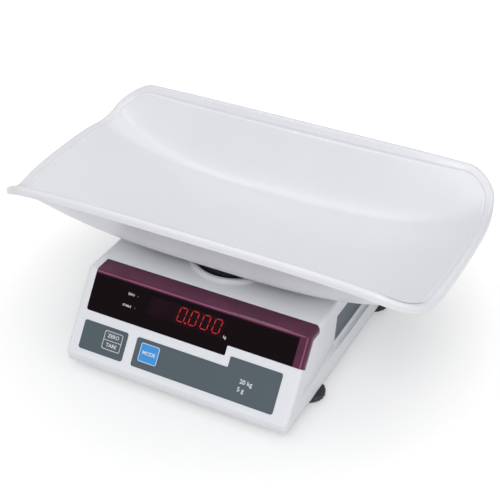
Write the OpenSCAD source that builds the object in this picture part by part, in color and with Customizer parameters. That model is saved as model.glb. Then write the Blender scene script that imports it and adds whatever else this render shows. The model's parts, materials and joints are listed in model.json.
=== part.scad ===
// Digital baby weighing scale: a moulded cradle pan that lifts off a spider, on a
// platform scale with a sloping console.  Millimetres, +Z up, z = 0 on the floor.
// The origin is the middle of the footprint.  Most places are given from the
// hub, the upright axis through the collar in the top of the body.

/* [Body] */
// Width of the body
body_w = 298; // [290:1:320]
// Distance from the hub axis forward to the foot of the sloping face
body_front = 163.5; // [158:0.5:175]
// Distance from the hub axis back to the rear wall
body_rear = 150; // [146:1:170]
// Height of the flat top above the floor
body_top = 110.5; // [106:0.5:125]
// Slope of the console face from the horizontal
face_angle = 54.6; // [50:0.2:60]
// Height at which the sloping face starts
face_foot = 23.5; // [22:0.5:26]
// Wall thickness of the moulded shells
wall = 3; // [2.4:0.1:3.6]
// Radius of the long outer edges of the housing
edge_r = 5; // [3.5:0.5:6]
// Radius of the bend between the face and the top
bend_r = 6; // [4:0.5:9]
// Radius of the plan corners of the body
corner_r = 7; // [6:0.5:12]
// Height of the ledge along the sides
ledge_z = 38; // [34:0.5:42]
// Depth that the side walls lean in behind the front cheeks
lean_in = 7.3; // [4:0.1:8]
// Distance from the hub axis forward to the start of the side panels
panel_front = 22; // [10:1:40]
// Length of the side panels
panel_len = 138; // [100:1:144]
// Height of the top edge of the side panels
panel_top = 82; // [70:1:90]

/* [Collar and platform] */
// Radius of the opening in the collar
collar_r = 53.5; // [52:0.5:58]
// Width of the raised ring round that opening
collar_w = 5.5; // [4:0.5:9]
// Height of the raised ring above the top
collar_h = 4.5; // [2:0.5:6]
// Gap between the hub and the collar
hub_gap = 4; // [2:0.5:6]
// Height of the spider that carries the pan
spider_h = 7; // [6.5:0.5:8]
// Width of the spider's rails
rail_w = 22; // [16:1:28]
// Distance from the centre to a cushion along the pan
cushion_x = 104; // [90:1:112]
// Distance from the pan's centre line to a cushion across it
cushion_y = 50; // [45:1:66]
// Radius of the rubber cushions
cushion_r = 9; // [6:0.5:11]

/* [Pan] */
// Length of the pan between the centre lines of its end rims
pan_len = 550; // [520:1:580]
// Width of the pan between the centre lines of its long rims
pan_w = 291; // [280:1:300]
// Distance of the pan's centre behind the hub axis
pan_back = 32; // [28:1:36]
// Height of the inside of the pan's floor above the floor
pan_floor = 130; // [129.5:0.5:140]
// Height of the left end rim, the lower one
rim_end_left = 169; // [162:1:175]
// Height of the right end rim, the head end
rim_end_right = 178; // [170:1:188]
// Height of the long rims
rim_side = 206; // [195:0.5:220]
// Run of the long walls from the fold to the rim
wall_run = 46.5; // [40:0.5:54]
// Half length of the round between floor and wall
fold_half = 17; // [8:1:24]
// Radius of the rim's plan corners
pan_corner = 28.5; // [20:0.5:40]
// How much the long rims flare out towards the corners
flare = 4.5; // [0:0.5:8]
// How much the end rims bow out in the middle
end_bow = 22; // [12:0.5:28]
// How much the long rims drop towards the corners
rim_drop = 7; // [0:0.5:12]
// Wall thickness of the pan
pan_t = 3; // [2.5:0.1:3.5]
// Radius of the rolled rim
rim_r = 4.4; // [4:0.1:5.5]
// Depth of the skirt below the rim's centre
skirt = 5; // [4:0.5:9]

/* [Console] */
// Thickness of the tinted window
window_t = 2; // [1.6:0.1:2.4]
// Left edge of the window from the centre
window_left = 136; // [132:0.1:138]
// Distance up the slope to the window's lower edge, left of its step
window_low = 55.9; // [54:0.1:58]
// Distance up the slope to the window's lower edge, right of its step
window_high = 68.2; // [66:0.1:70]
// Place of the step in the window's lower edge
window_step = 53.4; // [48:0.1:57]
// How far the window wraps back over the top
window_back = 22.8; // [16:0.1:30]
// How far the window wraps round the right edge
window_wrap = 8; // [6.5:0.5:10]
// Thickness of the keypad overlays
overlay_t = 0.6; // [0.4:0.1:1]
// Left edge of the left overlay from the centre
left_pad_start = 133.5; // [131:0.1:135]
// Right edge of the left overlay from the centre
left_pad_end = 72.2; // [69:0.1:74]
// Left edge of the right overlay from the centre
right_pad_start = 59.7; // [58:0.1:62]
// Right edge of the right overlay
right_pad_end = 128.5; // [121:0.1:131]
// Place of the step in the right overlay's upper edge
right_pad_step = 61.1; // [59:0.1:65]
// Distance up the slope to the overlays' lower edge
pad_low = 8.9; // [7.5:0.1:10]
// Distance up the slope to the overlays' upper edge
pad_high = 44.4; // [43:0.1:46]
// Distance up the slope to the upper edge right of the step
pad_step_high = 57.6; // [55:0.1:59]
// Width of a key
key_w = 25.6; // [20:0.1:26]
// Height of a key along the slope
key_h = 22.8; // [18:0.1:23]
// Centre of the zero and tare key from the centre, to the left
zero_key_x = 90.4; // [89:0.1:92]
// Centre of the mode key from the centre, to the left
mode_key_x = 39.6; // [38:0.1:41]
// Distance up the slope to the keys' centre
key_s = 28.5; // [27:0.1:29.5]
// Travel of a key
key_travel = 0.4; // [0.3:0.1:0.6]
// Height of the display digits
digit_h = 20.5; // [18:0.1:22]
// Pitch of the display digits
digit_pitch = 15.6; // [15:0.1:17]
// Centre of the four lit digits from the centre
digit_x = 9; // [5:0.1:10]
// Distance up the slope to the digits' centre
digit_s = 84.5; // [83:0.1:86]

/* [Feet] */
// Clearance under the body
foot_h = 12; // [11:0.5:14]
// Radius of a foot's knurled wheel
foot_r = 19; // [16:0.5:20]
// Number of notches round the wheel
foot_notches = 20; // [12:1:28]
// Distance from the centre to a foot across the body
foot_x = 137; // [132:0.5:138]
// Distance from the hub axis forward to the front feet
foot_front = 76; // [70:1:90]
// Distance from the hub axis back to the rear feet
foot_back = 122; // [112:1:122]
// Radius of the foot's threaded stem
stem_r = 4; // [3:0.5:5]

/* [Load cell and power] */
// Length of the load cell
cell_len = 130; // [120:1:140]
// Width of the load cell
cell_w = 30; // [24:1:34]
// Height of the load cell
cell_h = 25; // [20:1:28]
// Radius of the bending holes through the load cell
cell_hole_r = 9; // [7:0.5:9.5]
// Length of the battery
battery_len = 100; // [90:1:104]
// Width of the battery
battery_w = 70; // [60:1:74]
// Height of the battery
battery_h = 47; // [40:1:50]
// Width of the power inlet's body
inlet_w = 27.6; // [26:0.1:30]
// Height of the power inlet's body
inlet_h = 20.4; // [19:0.1:22]
// Place of the power inlet from the centre
inlet_x = 96; // [85:1:100]
// Place of the power switch from the centre
switch_x = 50; // [45:1:58]
// Height of the inlet and the switch above the floor
inlet_z = 58; // [50:1:64]

/* [Hidden] */

$fn = 48;

// Clearances
fit_gap = 0.3;          // between bodies that move past each other
seat_gap = 0.15;        // round a piece that lies in its recess
run_gap = 0.05;         // round a turning pin
proud = 0.3;            // how far window and overlays stand out of the face

// Body
half_w = body_w / 2;
seam_z = foot_h + 6;
tray_floor = 3;
inside_z = foot_h + tray_floor;
face_run = (body_top - face_foot) / tan(face_angle);
face_len = (body_top - face_foot) / sin(face_angle);
bend_y = -body_front + face_run;
inner_half = half_w - lean_in - 2 * wall - 0.7;
panel_t = 2;
panel_low = ledge_z + 4;
// Places of the right wall behind the cheek, from the top down
band_top_x = half_w - lean_in * 0.28;
band_low_x = half_w - lean_in * 0.66;
panel_top_x = band_low_x - 1.4;
panel_low_x = half_w - lean_in - 1;
cove_x = half_w - lean_in;

// Pan: the middle surface runs through the centre line of the rolled rim
pan_half = pan_len / 2;
pan_half_w = pan_w / 2;
mid_floor = pan_floor - rim_r;
end_power = 3.3;
fold_y = pan_half_w - wall_run;

// Steps of a quarter ring of the pan: the end, the corner and half of the long side
end_steps = 8;
corner_steps = 7;
side_steps = 12;
quarter = end_steps + corner_steps + side_steps;
around = 4 * quarter;
pan_reach = max([for (p = ring(1)) p.y]) + rim_r;

// The frame: the footprint runs from the face's foot to the pan's rear rim
hub_y = (body_front - pan_back - pan_reach) / 2;

// Stack under the pan
hub_top = body_top + 6;
spider_top = hub_top + spider_h;
cell_bottom = inside_z + 9;
cell_top = cell_bottom + cell_h;
bracket_z = cell_top + 3;
bracket_t = 4;
stop_gap = 0.8;

// Boards behind the face, measured in from the face
display_depth = 14;
key_depth = 9.5;
board_t = 1.6;

// Power parts
door_w = battery_w + 8;
door_len = battery_len + 6;
battery_y = 34;
door_run = 36;
door_t = 2.2;
door_z = foot_h + 1;
battery_z = door_z + door_t + 2 * fit_gap;
inlet_depth = 20;
rocker_w = 12;
rocker_h = 17;

// ---------- helpers ----------

// Everything is drawn from the hub and then set in the frame
module from_hub() translate([0, hub_y, 0]) children();

// Face coordinates: x across, y up the slope, z out of the face
module on_face() translate([0, -body_front, face_foot]) rotate([face_angle, 0, 0]) children();

module mirrored_x() {
    children();
    mirror([1, 0, 0]) children();
}

function unit(v) = v / norm(v);

// Points of one rounded corner p between neighbours a and b
function corner_points(a, p, b, r, n) =
    let (
        u = unit(a - p),
        w = unit(b - p),
        half = acos(u * w) / 2,
        c = p + unit(u + w) * r / sin(half),
        s = p + u * r / tan(half) - c,
        e = p + w * r / tan(half) - c,
        a0 = atan2(s.y, s.x),
        turn = atan2(e.y, e.x) - a0,
        sweep = turn > 180 ? turn - 360 : turn < -180 ? turn + 360 : turn
    )
    [for (i = [0:n]) c + r * [cos(a0 + sweep * i / n), sin(a0 + sweep * i / n)]];

// A polygon with each corner rounded by its own radius, zero for a sharp one
function rounded(points, radii, n = 6) =
    [for (i = [0:len(points) - 1])
        let (k = len(points), r = is_list(radii) ? radii[i] : radii)
        each r < 0.01 ? [points[i]]
            : corner_points(points[(i + k - 1) % k], points[i], points[(i + 1) % k], r, n)];

function box_points(x0, x1, y0, y1) = [[x0, y0], [x1, y0], [x1, y1], [x0, y1]];

module plate(x0, x1, y0, y1, r, z0, z1) {
    translate([0, 0, z0]) linear_extrude(z1 - z0) polygon(rounded(box_points(x0, x1, y0, y1), r));
}

module block(x0, x1, y0, y1, z0, z1) {
    translate([x0, y0, z0]) cube([x1 - x0, y1 - y0, z1 - z0]);
}

// ---------- body shells ----------

// Outline of the body in the YZ plane, moved inwards by d
function side_points(d) = [
    [-body_front + d, 0],
    [-body_front + d, face_foot + d * (tan(face_angle) - 1 / cos(face_angle))],
    [-body_front + d / sin(face_angle) + (body_top - d - face_foot) / tan(face_angle), body_top - d],
    [body_rear - d, body_top - d],
    [body_rear - d, 0]
];

// Extrudes a YZ outline across the body from x0 to x1
module across(x0, x1) translate([x0, 0, 0]) rotate([90, 0, 90]) linear_extrude(x1 - x0) children();

// Extrudes an XZ outline from y0 to y1
module along(y0, y1) translate([0, y1, 0]) rotate([90, 0, 0]) linear_extrude(y1 - y0) children();

// A bar that rounds one edge: a square with a quarter disc left out
module edge_bar(r, length) {
    linear_extrude(length) difference() {
        translate([-r, -r]) square(2 * r);
        translate([-r, -r]) circle(r);
        translate([-2 * r, -2 * r]) square([3 * r, r]);
        translate([-2 * r, -2 * r]) square([r, 3 * r]);
    }
}

// The whole body as one solid, moved inwards by d
module body_form(d) {
    r = max(edge_r - d, 1);
    difference() {
        intersection() {
            across(-half_w + d, half_w - d)
                polygon(rounded(side_points(d), [0, 3, bend_r - d * 0.8, 5, 0]));
            plate(-half_w + d, half_w - d, -body_front + d, body_rear - d, corner_r - d, 0, body_top + 2);
        }
        mirrored_x() {
            translate([half_w - d, -body_front + d / sin(face_angle), face_foot])
                rotate([face_angle - 90, 0, 0]) translate([0, 0, -40])
                    mirror([0, 1, 0]) edge_bar(r, face_len + 120);
            translate([half_w - d, body_rear + 1, body_top - d])
                rotate([90, 0, 0]) edge_bar(r, body_rear + body_front - face_run + bend_r / 2);
        }
    }
}

// What the right side wall loses above the ledge
module side_scoop() {
    // the front cheek leans in towards the rear and towards the ledge
    intersection() {
        translate([half_w, -52, body_top]) rotate([0, 4.25, 4.15])
            translate([0, -200, -200]) cube([60, 400, 400]);
        block(half_w - 30, half_w + 30, -body_front, -panel_front, ledge_z, body_top + 1);
    }
    // behind it the wall stays parallel, down to a cove above the ledge
    along(-panel_front, body_rear + 1) polygon(concat([
        [half_w + 5, ledge_z], [half_w + 5, body_top + 1], [band_top_x, body_top + 1],
        [band_top_x, body_top], [band_low_x, panel_top], [cove_x, ledge_z + 5]],
        [for (a = [15:15:90]) [cove_x + 5 - 5 * cos(a), ledge_z + 5 - 5 * sin(a)]]));
    // the recess that the panel lies in
    along(-panel_front + 3, -panel_front + panel_len) polygon([
        [panel_top_x - panel_t, panel_top - 0.5], [half_w + 5, panel_top - 0.5],
        [half_w + 5, panel_low], [panel_low_x - panel_t, panel_low]]);
}

module panel_solid() {
    g = seat_gap;
    along(-panel_front + 3 + g, -panel_front + panel_len - g) polygon([
        [panel_top_x - panel_t + 0.05, panel_top - 0.5 - g], [panel_top_x, panel_top - 0.5 - g],
        [panel_low_x, panel_low + g], [panel_low_x - panel_t + 0.05, panel_low + g]]);
}

module side_panel_right() color([0.31, 0.36, 0.39]) from_hub() panel_solid();
module side_panel_left() color([0.31, 0.36, 0.39]) from_hub() mirror([1, 0, 0]) panel_solid();

module base_tray() {
    rim_h = 8;
    color("whitesmoke") from_hub() difference() {
        union() {
            // outer pan of the tray with a chamfered foot edge
            plate(-half_w + 1.5, half_w - 1.5, -body_front + 1.5, body_rear - 1.5, corner_r - 1.5,
                foot_h, foot_h + 1.5);
            plate(-half_w + 0.5, half_w - 0.5, -body_front + 0.5, body_rear - 0.5, corner_r - 0.5,
                foot_h + 1.5, seam_z);
            // rim that locates the housing
            plate(-half_w + wall + seat_gap, half_w - wall - seat_gap, -body_front + wall + 4,
                body_rear - wall - 1 - seat_gap, corner_r - wall, seam_z, seam_z + rim_h);
        }
        difference() {
            plate(-half_w + 2 * wall, half_w - 2 * wall, -body_front + 2 * wall + 4,
                body_rear - 2 * wall - 1, 4, inside_z, seam_z + rim_h + 1);
            tray_bosses();
        }
        battery_hatch();
        foot_positions() translate([0, 0, foot_h - 1]) cylinder(r = insert_r(), h = 40);
        housing_screw_positions() {
            translate([0, 0, foot_h - 1]) cylinder(r = 1.9, h = 30);
            translate([0, 0, foot_h - 1]) cylinder(r = 3.6, h = 6);
        }
        cell_fixed_bolts() {
            translate([0, 0, foot_h - 1]) cylinder(r = 3.2, h = 30);
            translate([0, 0, foot_h - 1]) cylinder(r = 6, h = 3.5);
        }
        stop_positions() translate([0, 0, foot_h - 1]) cylinder(r = 2.5 + run_gap, h = 30);
        // bare recess for a plate
        plate(-100, -48, 60, 92, 2, foot_h - 1, foot_h + 0.5);
    }
}

function insert_r() = stem_r + 2.5;

// Bosses and posts that stand on the tray's floor
module tray_bosses() {
    foot_positions() translate([0, 0, foot_h]) cylinder(r = insert_r() + 3, h = 20);
    housing_screw_positions() translate([0, 0, foot_h]) cylinder(r = 5.5, h = 13);
    // raised pad under the load cell's fixed end and the overload stops
    plate(-cell_len / 2 - 4, -cell_len / 2 + 36, -cell_w / 2 - 5, cell_w / 2 + 5, 4, foot_h, inside_z + 4);
    stop_positions() translate([0, 0, foot_h]) cylinder(r = 6, h = 8);
    main_board_posts() translate([0, 0, foot_h]) cylinder(r = 3, h = main_board_z() - foot_h);
    transformer_ears() translate([0, 0, foot_h]) cylinder(r = 5, h = 7);
    // stiffening ribs
    for (x = [-92, 0, 92]) block(x - 1, x + 1, -body_front + 12, -cell_w / 2 - 20, foot_h, inside_z + 4);
    for (y = [-60, -120]) block(-foot_x + 12, foot_x - 12, y - 1, y + 1, foot_h, inside_z + 4);
    // thicker floor round the battery hatch
    plate(-door_w / 2 - 6, door_w / 2 + door_run + 6, battery_y - 4, battery_y + door_len + 1, 4,
        foot_h, inside_z + 2.5);
}

module foot_positions() {
    for (x = [-foot_x, foot_x], y = [-foot_front, foot_back]) translate([x, y, 0]) children();
}

module housing_screw_positions() {
    for (x = [-1, 1] * (foot_x - 12), y = [-body_front + 26, body_rear - 15])
        translate([x, y, 0]) children();
    for (x = [-1, 1] * (foot_x - 12)) translate([x, 22, 0]) children();
}

module cell_fixed_bolts() {
    for (x = [8, 24]) translate([-cell_len / 2 + x, 0, 0]) children();
}

module cell_live_bolts() {
    for (x = [8, 24]) translate([cell_len / 2 - x, 0, 0]) children();
}

module stop_positions() {
    for (y = [-1, 1] * (cell_w / 2 + 12)) translate([cell_len / 2 - 16, y, 0]) children();
}

function main_board_z() = inside_z + 9;

module main_board_posts() {
    for (x = [-126, -62], y = [-122, -98]) translate([x, y, 0]) children();
}

module transformer_ears() {
    for (x = [62, 112]) translate([x, 82, 0]) children();
}

// Opening for the battery with the track that its door slides in
module battery_hatch() {
    plate(-battery_w / 2 - 1, battery_w / 2 + 1, battery_y, battery_y + battery_len + 1.5, 2, 0, 40);
    // mouth between the lips that carry the door
    plate(-door_w / 2 - fit_gap, door_w / 2 + door_run + fit_gap, battery_y,
        battery_y + door_len - 4, 1, 0, door_z);
    plate(-door_w / 2 - fit_gap, door_w / 2 + door_run + fit_gap, battery_y - 2 - fit_gap,
        battery_y + door_len - 2 + fit_gap, 1, door_z - fit_gap, door_z + door_t + fit_gap);
}

module top_housing() {
    color("white") from_hub() difference() {
        union() {
            difference() {
                body_form(0);
                mirrored_x() side_scoop();
                housing_cavity();
            }
            // raised ring of the collar, with a rounded outer edge
            translate([0, 0, body_top - 1]) rotate_extrude() polygon(rounded(
                [[collar_r, 0], [collar_r + collar_w + 1, 0],
                 [collar_r + collar_w, collar_h + 1], [collar_r, collar_h + 1]],
                [0, 0, 2.5, 1]));
            housing_bosses();
            board_posts();
        }
        translate([0, 0, body_top - 8]) cylinder(r = collar_r, h = 20);
        window_skin(seat_gap);
        display_opening();
        overlay_recesses();
        key_openings();
        rear_openings();
        vial_pocket();
    }
}

// The space inside the housing, open at the bottom
module housing_cavity() {
    d = wall;
    intersection() {
        across(-half_w, half_w) polygon(rounded(side_points(d + 1), [0, 2, 3, 3, 0]));
        union() {
            plate(-inner_half, inner_half, -body_front + d, body_rear - d, 5, 0, body_top);
            plate(-half_w + d, half_w - d, -body_front + d, body_rear - d, corner_r - d, 0,
                ledge_z - d);
            // the front cheeks are deeper, behind the window
            plate(-half_w + d + 1, half_w - d - 6, -body_front + d, -panel_front - 70, 5, 0,
                body_top);
        }
    }
    block(-half_w - 1, half_w + 1, -body_front - 1, body_rear + 1, -1, seam_z);
}

// Screw bosses that reach down to the tray
module housing_bosses() {
    boss_top = ledge_z + 8;
    difference() {
        intersection() {
            union() {
                housing_screw_positions() translate([0, 0, seam_z + 7.3]) cylinder(r = 5, h = boss_top);
                // webs that join the bosses to the side walls
                mirrored_x() for (y = [-body_front + 26, 22, body_rear - 15])
                    block(foot_x - 12, inner_half + 1.5, y - 1.25, y + 1.25, seam_z + 7.3, boss_top + 6);
            }
            body_form(1);
            block(-half_w, half_w, -body_front, body_rear, 0, boss_top + 6);
        }
        housing_screw_positions() translate([0, 0, seam_z]) cylinder(r = 1.6, h = 22);
    }
}

// Posts behind the face that carry the display and key boards
module board_posts() {
    on_face() {
        for (x = [-91, 59], y = [digit_s - 18, digit_s + 10])
            translate([x, y, -display_depth]) cylinder(r = 3, h = display_depth - wall);
        for (x = [-112, -68, 40, 108], y = [15.5, 37.5])
            translate([x, y, -key_depth]) cylinder(r = 2.2, h = key_depth - wall);
    }
}

// The part of the body's outer skin that the window takes, grown by gap
module window_skin(gap) {
    difference() {
        window_region(gap);
        body_form(window_t + gap);
    }
}

module window_region(gap) {
    deep = window_wrap + gap;
    bend_s = (body_top - face_foot - deep * (1 - cos(face_angle))) / sin(face_angle);
    back = bend_y + window_back + gap;
    intersection() {
        // a bent slab that follows the face and the top
        across(-half_w - 6, half_w + 6) polygon([
            face_point(40, 12), face_point(40, -deep), face_point(bend_s, -deep),
            [back, body_top - deep], [back, body_top + 12], [bend_y - 12, body_top + 12]]);
        // its outline, with the step in the lower edge
        on_face() translate([0, 0, -60]) linear_extrude(90) polygon(rounded(
            [[-window_left - gap, window_low - gap], [window_step + gap, window_low - gap],
             [window_step + gap, window_high - gap], [half_w + 9, window_high - gap],
             [half_w + 9, face_len + 60], [-window_left - gap, face_len + 60]],
            [3, 1.5, 1.5, 0, 0, 0]));
        plate(-half_w - 9, half_w + 4, -body_front - 20, back + 0.01, [0, 0, 10, 0], 0, body_top + 30);
    }
}

// A point of the YZ plane at a distance up the face and a height out of it
function face_point(up, out) = [
    -body_front + up * cos(face_angle) - out * sin(face_angle),
    face_foot + up * sin(face_angle) + out * cos(face_angle)];

module display_window() {
    color([0.16, 0.05, 0.1, 0.9]) from_hub() intersection() {
        window_skin(0);
        body_form(-proud);
    }
}

module display_opening() {
    on_face() plate(-81, 55, digit_s - 17, digit_s + 15, 2, -12, 5);
}

// Outline of an overlay, in face coordinates, grown by gap
function left_pad(gap) = rounded(
    box_points(-left_pad_start - gap, -left_pad_end + gap, pad_low - gap, pad_high + gap), 3);
function right_pad(gap) = rounded(
    [[-right_pad_start - gap, pad_low - gap], [right_pad_end + gap, pad_low - gap],
     [right_pad_end + gap, pad_step_high + gap], [right_pad_step - gap, pad_step_high + gap],
     [right_pad_step - gap, pad_high + gap], [-right_pad_start - gap, pad_high + gap]],
    [3, 3, 3, 1.5, 1.5, 3]);

module overlay_recesses() {
    on_face() translate([0, 0, proud - overlay_t]) linear_extrude(5) {
        polygon(left_pad(seat_gap));
        polygon(right_pad(seat_gap));
    }
}

module key_positions() {
    translate([-zero_key_x, key_s, 0]) children();
    translate([-mode_key_x, key_s, 0]) children();
}

// Outline of a key, grown by gap
module key_outline(gap) {
    polygon(rounded(box_points(-key_w / 2 - gap, key_w / 2 + gap, -key_h / 2 - gap, key_h / 2 + gap), 2.5));
}

module key_openings() {
    on_face() key_positions() translate([0, 0, -20]) linear_extrude(25) key_outline(fit_gap);
}

// Holes in the rear wall for the inlet and the switch
module rear_openings() {
    along(body_rear - 12, body_rear + 5) {
        polygon(inlet_outline(seat_gap, 0));
        polygon(switch_outline(seat_gap));
        for (i = [0:vent_count - 1]) translate([vent_x + i * vent_pitch, inlet_z])
            polygon(rounded(box_points(-1.2, 1.2, -14, 14), 1));
    }
}

function inlet_outline(gap, inset) = rounded(box_points(
    inlet_x - inlet_w / 2 - gap + inset, inlet_x + inlet_w / 2 + gap - inset,
    inlet_z - inlet_h / 2 - gap + inset, inlet_z + inlet_h / 2 + gap - inset), [2, 2, 5, 5]);

function switch_outline(gap) = rounded(box_points(
    switch_x - rocker_w / 2 - 1.5 - gap, switch_x + rocker_w / 2 + 1.5 + gap,
    inlet_z - rocker_h / 2 - 1.5 - gap, inlet_z + rocker_h / 2 + 1.5 + gap), 1.5);

// ---------- console ----------

module overlay_plate() {
    on_face() difference() {
        translate([0, 0, proud - overlay_t]) linear_extrude(overlay_t) children();
        key_positions() translate([0, 0, -5]) linear_extrude(10) key_outline(fit_gap);
    }
}

module left_key_overlay() color([0.31, 0.36, 0.39]) from_hub() overlay_plate() polygon(left_pad(0));
module right_key_overlay() color([0.31, 0.36, 0.39]) from_hub() overlay_plate() polygon(right_pad(0));

// A key cap with the flange that holds it behind the face
module key_cap() {
    translate([0, 0, -wall - 2.6]) linear_extrude(wall + 2.6 + proud + 0.4) key_outline(0);
    translate([0, 0, -wall - 2.6]) linear_extrude(1.2) key_outline(1.5);
}

module zero_tare_key() color([0.31, 0.36, 0.39]) from_hub() on_face()
    translate([-zero_key_x, key_s, 0]) key_cap();
module mode_key() color([0.22, 0.58, 0.87]) from_hub() on_face()
    translate([-mode_key_x, key_s, 0]) key_cap();

// Rod of a key switch, which the key pushes
module plunger() {
    translate([0, 0, -key_depth + 1.2]) cylinder(r = 1.75, h = key_depth - 1.2 - wall - 2.6);
}

module zero_tare_plunger() color("dimgray") from_hub() on_face()
    translate([-zero_key_x, key_s, 0]) plunger();
module mode_plunger() color("dimgray") from_hub() on_face()
    translate([-mode_key_x, key_s, 0]) plunger();

module tact_switches() {
    color("black") from_hub() on_face() key_positions() translate([0, 0, -key_depth]) difference() {
        translate([-3, -3, 0]) cube([6, 6, 2.8]);
        translate([0, 0, 0.3]) cylinder(r = 1.75 + run_gap, h = 5);
    }
}

module key_board() {
    color("darkgreen") from_hub() on_face() plate(-116, 112, 12, 41, 1.5, -key_depth - board_t, -key_depth);
}

module display_board() {
    color("darkgreen") from_hub() on_face() difference() {
        plate(-97, 65, digit_s - 23, digit_s + 15, 2, -display_depth - board_t, -display_depth);
        for (x = [-91, 59], y = [digit_s - 18, digit_s + 10])
            translate([x, y, -display_depth - 5]) cylinder(r = 1.6, h = 10);
    }
}

// One digit: a slanted block with seven raised bars
module digit_block() {
    slant = tan(8);
    bar_w = 1.7;
    half_d = digit_h / 2 - 1;
    module bar(x0, y0, x1, y1) {
        lean = [y0 * slant, y1 * slant];
        d = unit([x1 + lean[1] - x0 - lean[0], y1 - y0]) * bar_w * 0.6;
        n = [-d.y, d.x] * 0.85;
        a = [x0 + lean[0], y0];
        b = [x1 + lean[1], y1];
        polygon([a, a + d + n, b - d + n, b, b - d - n, a + d - n]);
    }
    translate([0, 0, -display_depth]) block(-digit_pitch / 2 + 0.05, digit_pitch / 2 - 0.05,
        -digit_h / 2 - 3, digit_h / 2 + 3, 0, 8);
    translate([0, 0, -display_depth + 8]) linear_extrude(0.3) {
        for (y = [-half_d, 0, half_d]) bar(-4.4, y, 4.4, y);
        for (x = [-5, 5], y = [-half_d, 0]) bar(x, y + 0.6, x, y + half_d - 0.6);
    }
}

module led_digits() {
    color([0.8, 0.08, 0.05]) from_hub() on_face()
        for (i = [-4:1]) translate([digit_x + digit_pitch * (i + 0.5), digit_s, 0]) digit_block();
}

module indicator_leds() {
    color("red") from_hub() on_face() for (y = [-7.2, 7.2])
        translate([-73.6, digit_s - 2.3 + y, -display_depth]) {
            cylinder(r = 1.9, h = 1);
            cylinder(r = 1.5, h = 9);
        }
}

module main_board() {
    color("darkgreen") from_hub() difference() {
        plate(-132, -56, -128, -92, 2, main_board_z(), main_board_z() + board_t);
        main_board_posts() cylinder(r = 1.6, h = 60);
    }
}

module board_components() {
    top = main_board_z() + board_t;
    color("dimgray") from_hub() {
        block(-112, -96, -118, -102, top, top + 1.8);
        for (i = [0:7]) block(-111.6 + i * 2, -110.4 + i * 2, -120.6, -118, top, top + 0.6);
        block(-88, -80, -117, -107, top, top + 2.4);
        for (x = [-74, -66]) translate([x, -106, top]) cylinder(r = 3.2, h = 11);
        for (i = [0:2]) block(-90 + i * 11, -82 + i * 11, -100, -94, top, top + 6);
    }
}

// ---------- load cell and platform ----------

module load_cell() {
    color("silver") from_hub() difference() {
        block(-cell_len / 2, cell_len / 2, -cell_w / 2, cell_w / 2, cell_bottom, cell_top);
        // the two joined bending holes
        along(-cell_w, cell_w) {
            for (x = [-12, 12]) translate([x, (cell_bottom + cell_top) / 2]) circle(cell_hole_r);
            translate([-12, (cell_bottom + cell_top) / 2 - 2.5]) square([24, 5]);
        }
        cell_fixed_bolts() translate([0, 0, cell_bottom - 1]) cylinder(r = 3.1, h = cell_h + 2);
        cell_live_bolts() translate([0, 0, cell_bottom - 1]) cylinder(r = 3.1, h = cell_h + 2);
    }
}

module cell_spacer() {
    color("gray") from_hub() difference() {
        plate(-cell_len / 2, -cell_len / 2 + 32, -cell_w / 2, cell_w / 2, 2, inside_z + 4, cell_bottom);
        cell_fixed_bolts() cylinder(r = 3.3, h = 60);
    }
}

// Bolts that come up through the tray into the fixed end
module cell_bolts() {
    color("dimgray") from_hub() cell_fixed_bolts() {
        translate([0, 0, foot_h + 0.3]) cylinder(r = 5, h = 2.2);
        translate([0, 0, foot_h + 2.5]) cylinder(r = 3, h = cell_bottom + 14 - foot_h - 2.5);
    }
}

// Steel arm that carries the hub from the live end
module platform_bracket() {
    color("slategray") from_hub() difference() {
        union() {
            plate(-46, cell_len / 2, -26, 26, 6, bracket_z, bracket_z + bracket_t);
            plate(cell_len / 2 - 32, cell_len / 2, -cell_w / 2, cell_w / 2, 2, cell_top, bracket_z);
            // lugs that meet the overload stops
            for (s = [-1, 1]) {
                block(cell_len / 2 - 23, cell_len / 2 - 9, s * (cell_w / 2 + 12) - 6,
                    s * (cell_w / 2 + 12) + 6, bracket_z, bracket_z + bracket_t);
            }
        }
        cell_live_bolts() cylinder(r = 3.3, h = 80);
        hub_bolts() cylinder(r = 2.2, h = 80);
    }
}

module hub_bolts() {
    for (a = [45:90:315]) rotate(a) translate([22, 0, 0]) children();
}

module bracket_bolts() {
    color("dimgray") from_hub() cell_live_bolts() {
        translate([0, 0, bracket_z + bracket_t]) cylinder(r = 5, h = 4);
        translate([0, 0, cell_bottom + 8]) cylinder(r = 3, h = bracket_z + bracket_t - cell_bottom - 8);
    }
}

// Screws in the tray that stop the arm when the scale is overloaded
module overload_stops() {
    color("dimgray") from_hub() stop_positions() {
        translate([0, 0, foot_h + 0.4]) cylinder(r = 2.5, h = bracket_z - stop_gap - foot_h - 0.4);
        translate([0, 0, inside_z + 5]) cylinder(r = 4.5, h = 3);
    }
}

// Moulded hub that comes up through the collar
module load_hub() {
    base = bracket_z + bracket_t;
    r = collar_r - hub_gap;
    color([0.09, 0.09, 0.1]) from_hub() difference() {
        translate([0, 0, base]) rotate_extrude() polygon(rounded(
            [[0, 0], [30, 0], [30, 4], [26, 8], [26, hub_top - base - 12], [r - 4, hub_top - base - 7],
             [r, hub_top - base - 5], [r, hub_top - base - 1.5], [r - 3, hub_top - base],
             [0, hub_top - base]], 0));
        hub_bolts() translate([0, 0, base - 1]) cylinder(r = 1.7, h = 16);
        spider_bolts() translate([0, 0, hub_top - 14]) cylinder(r = 2, h = 20);
    }
}

module spider_bolts() {
    for (a = [45:90:315]) rotate(a) translate([16, 0, 0]) children();
}

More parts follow.
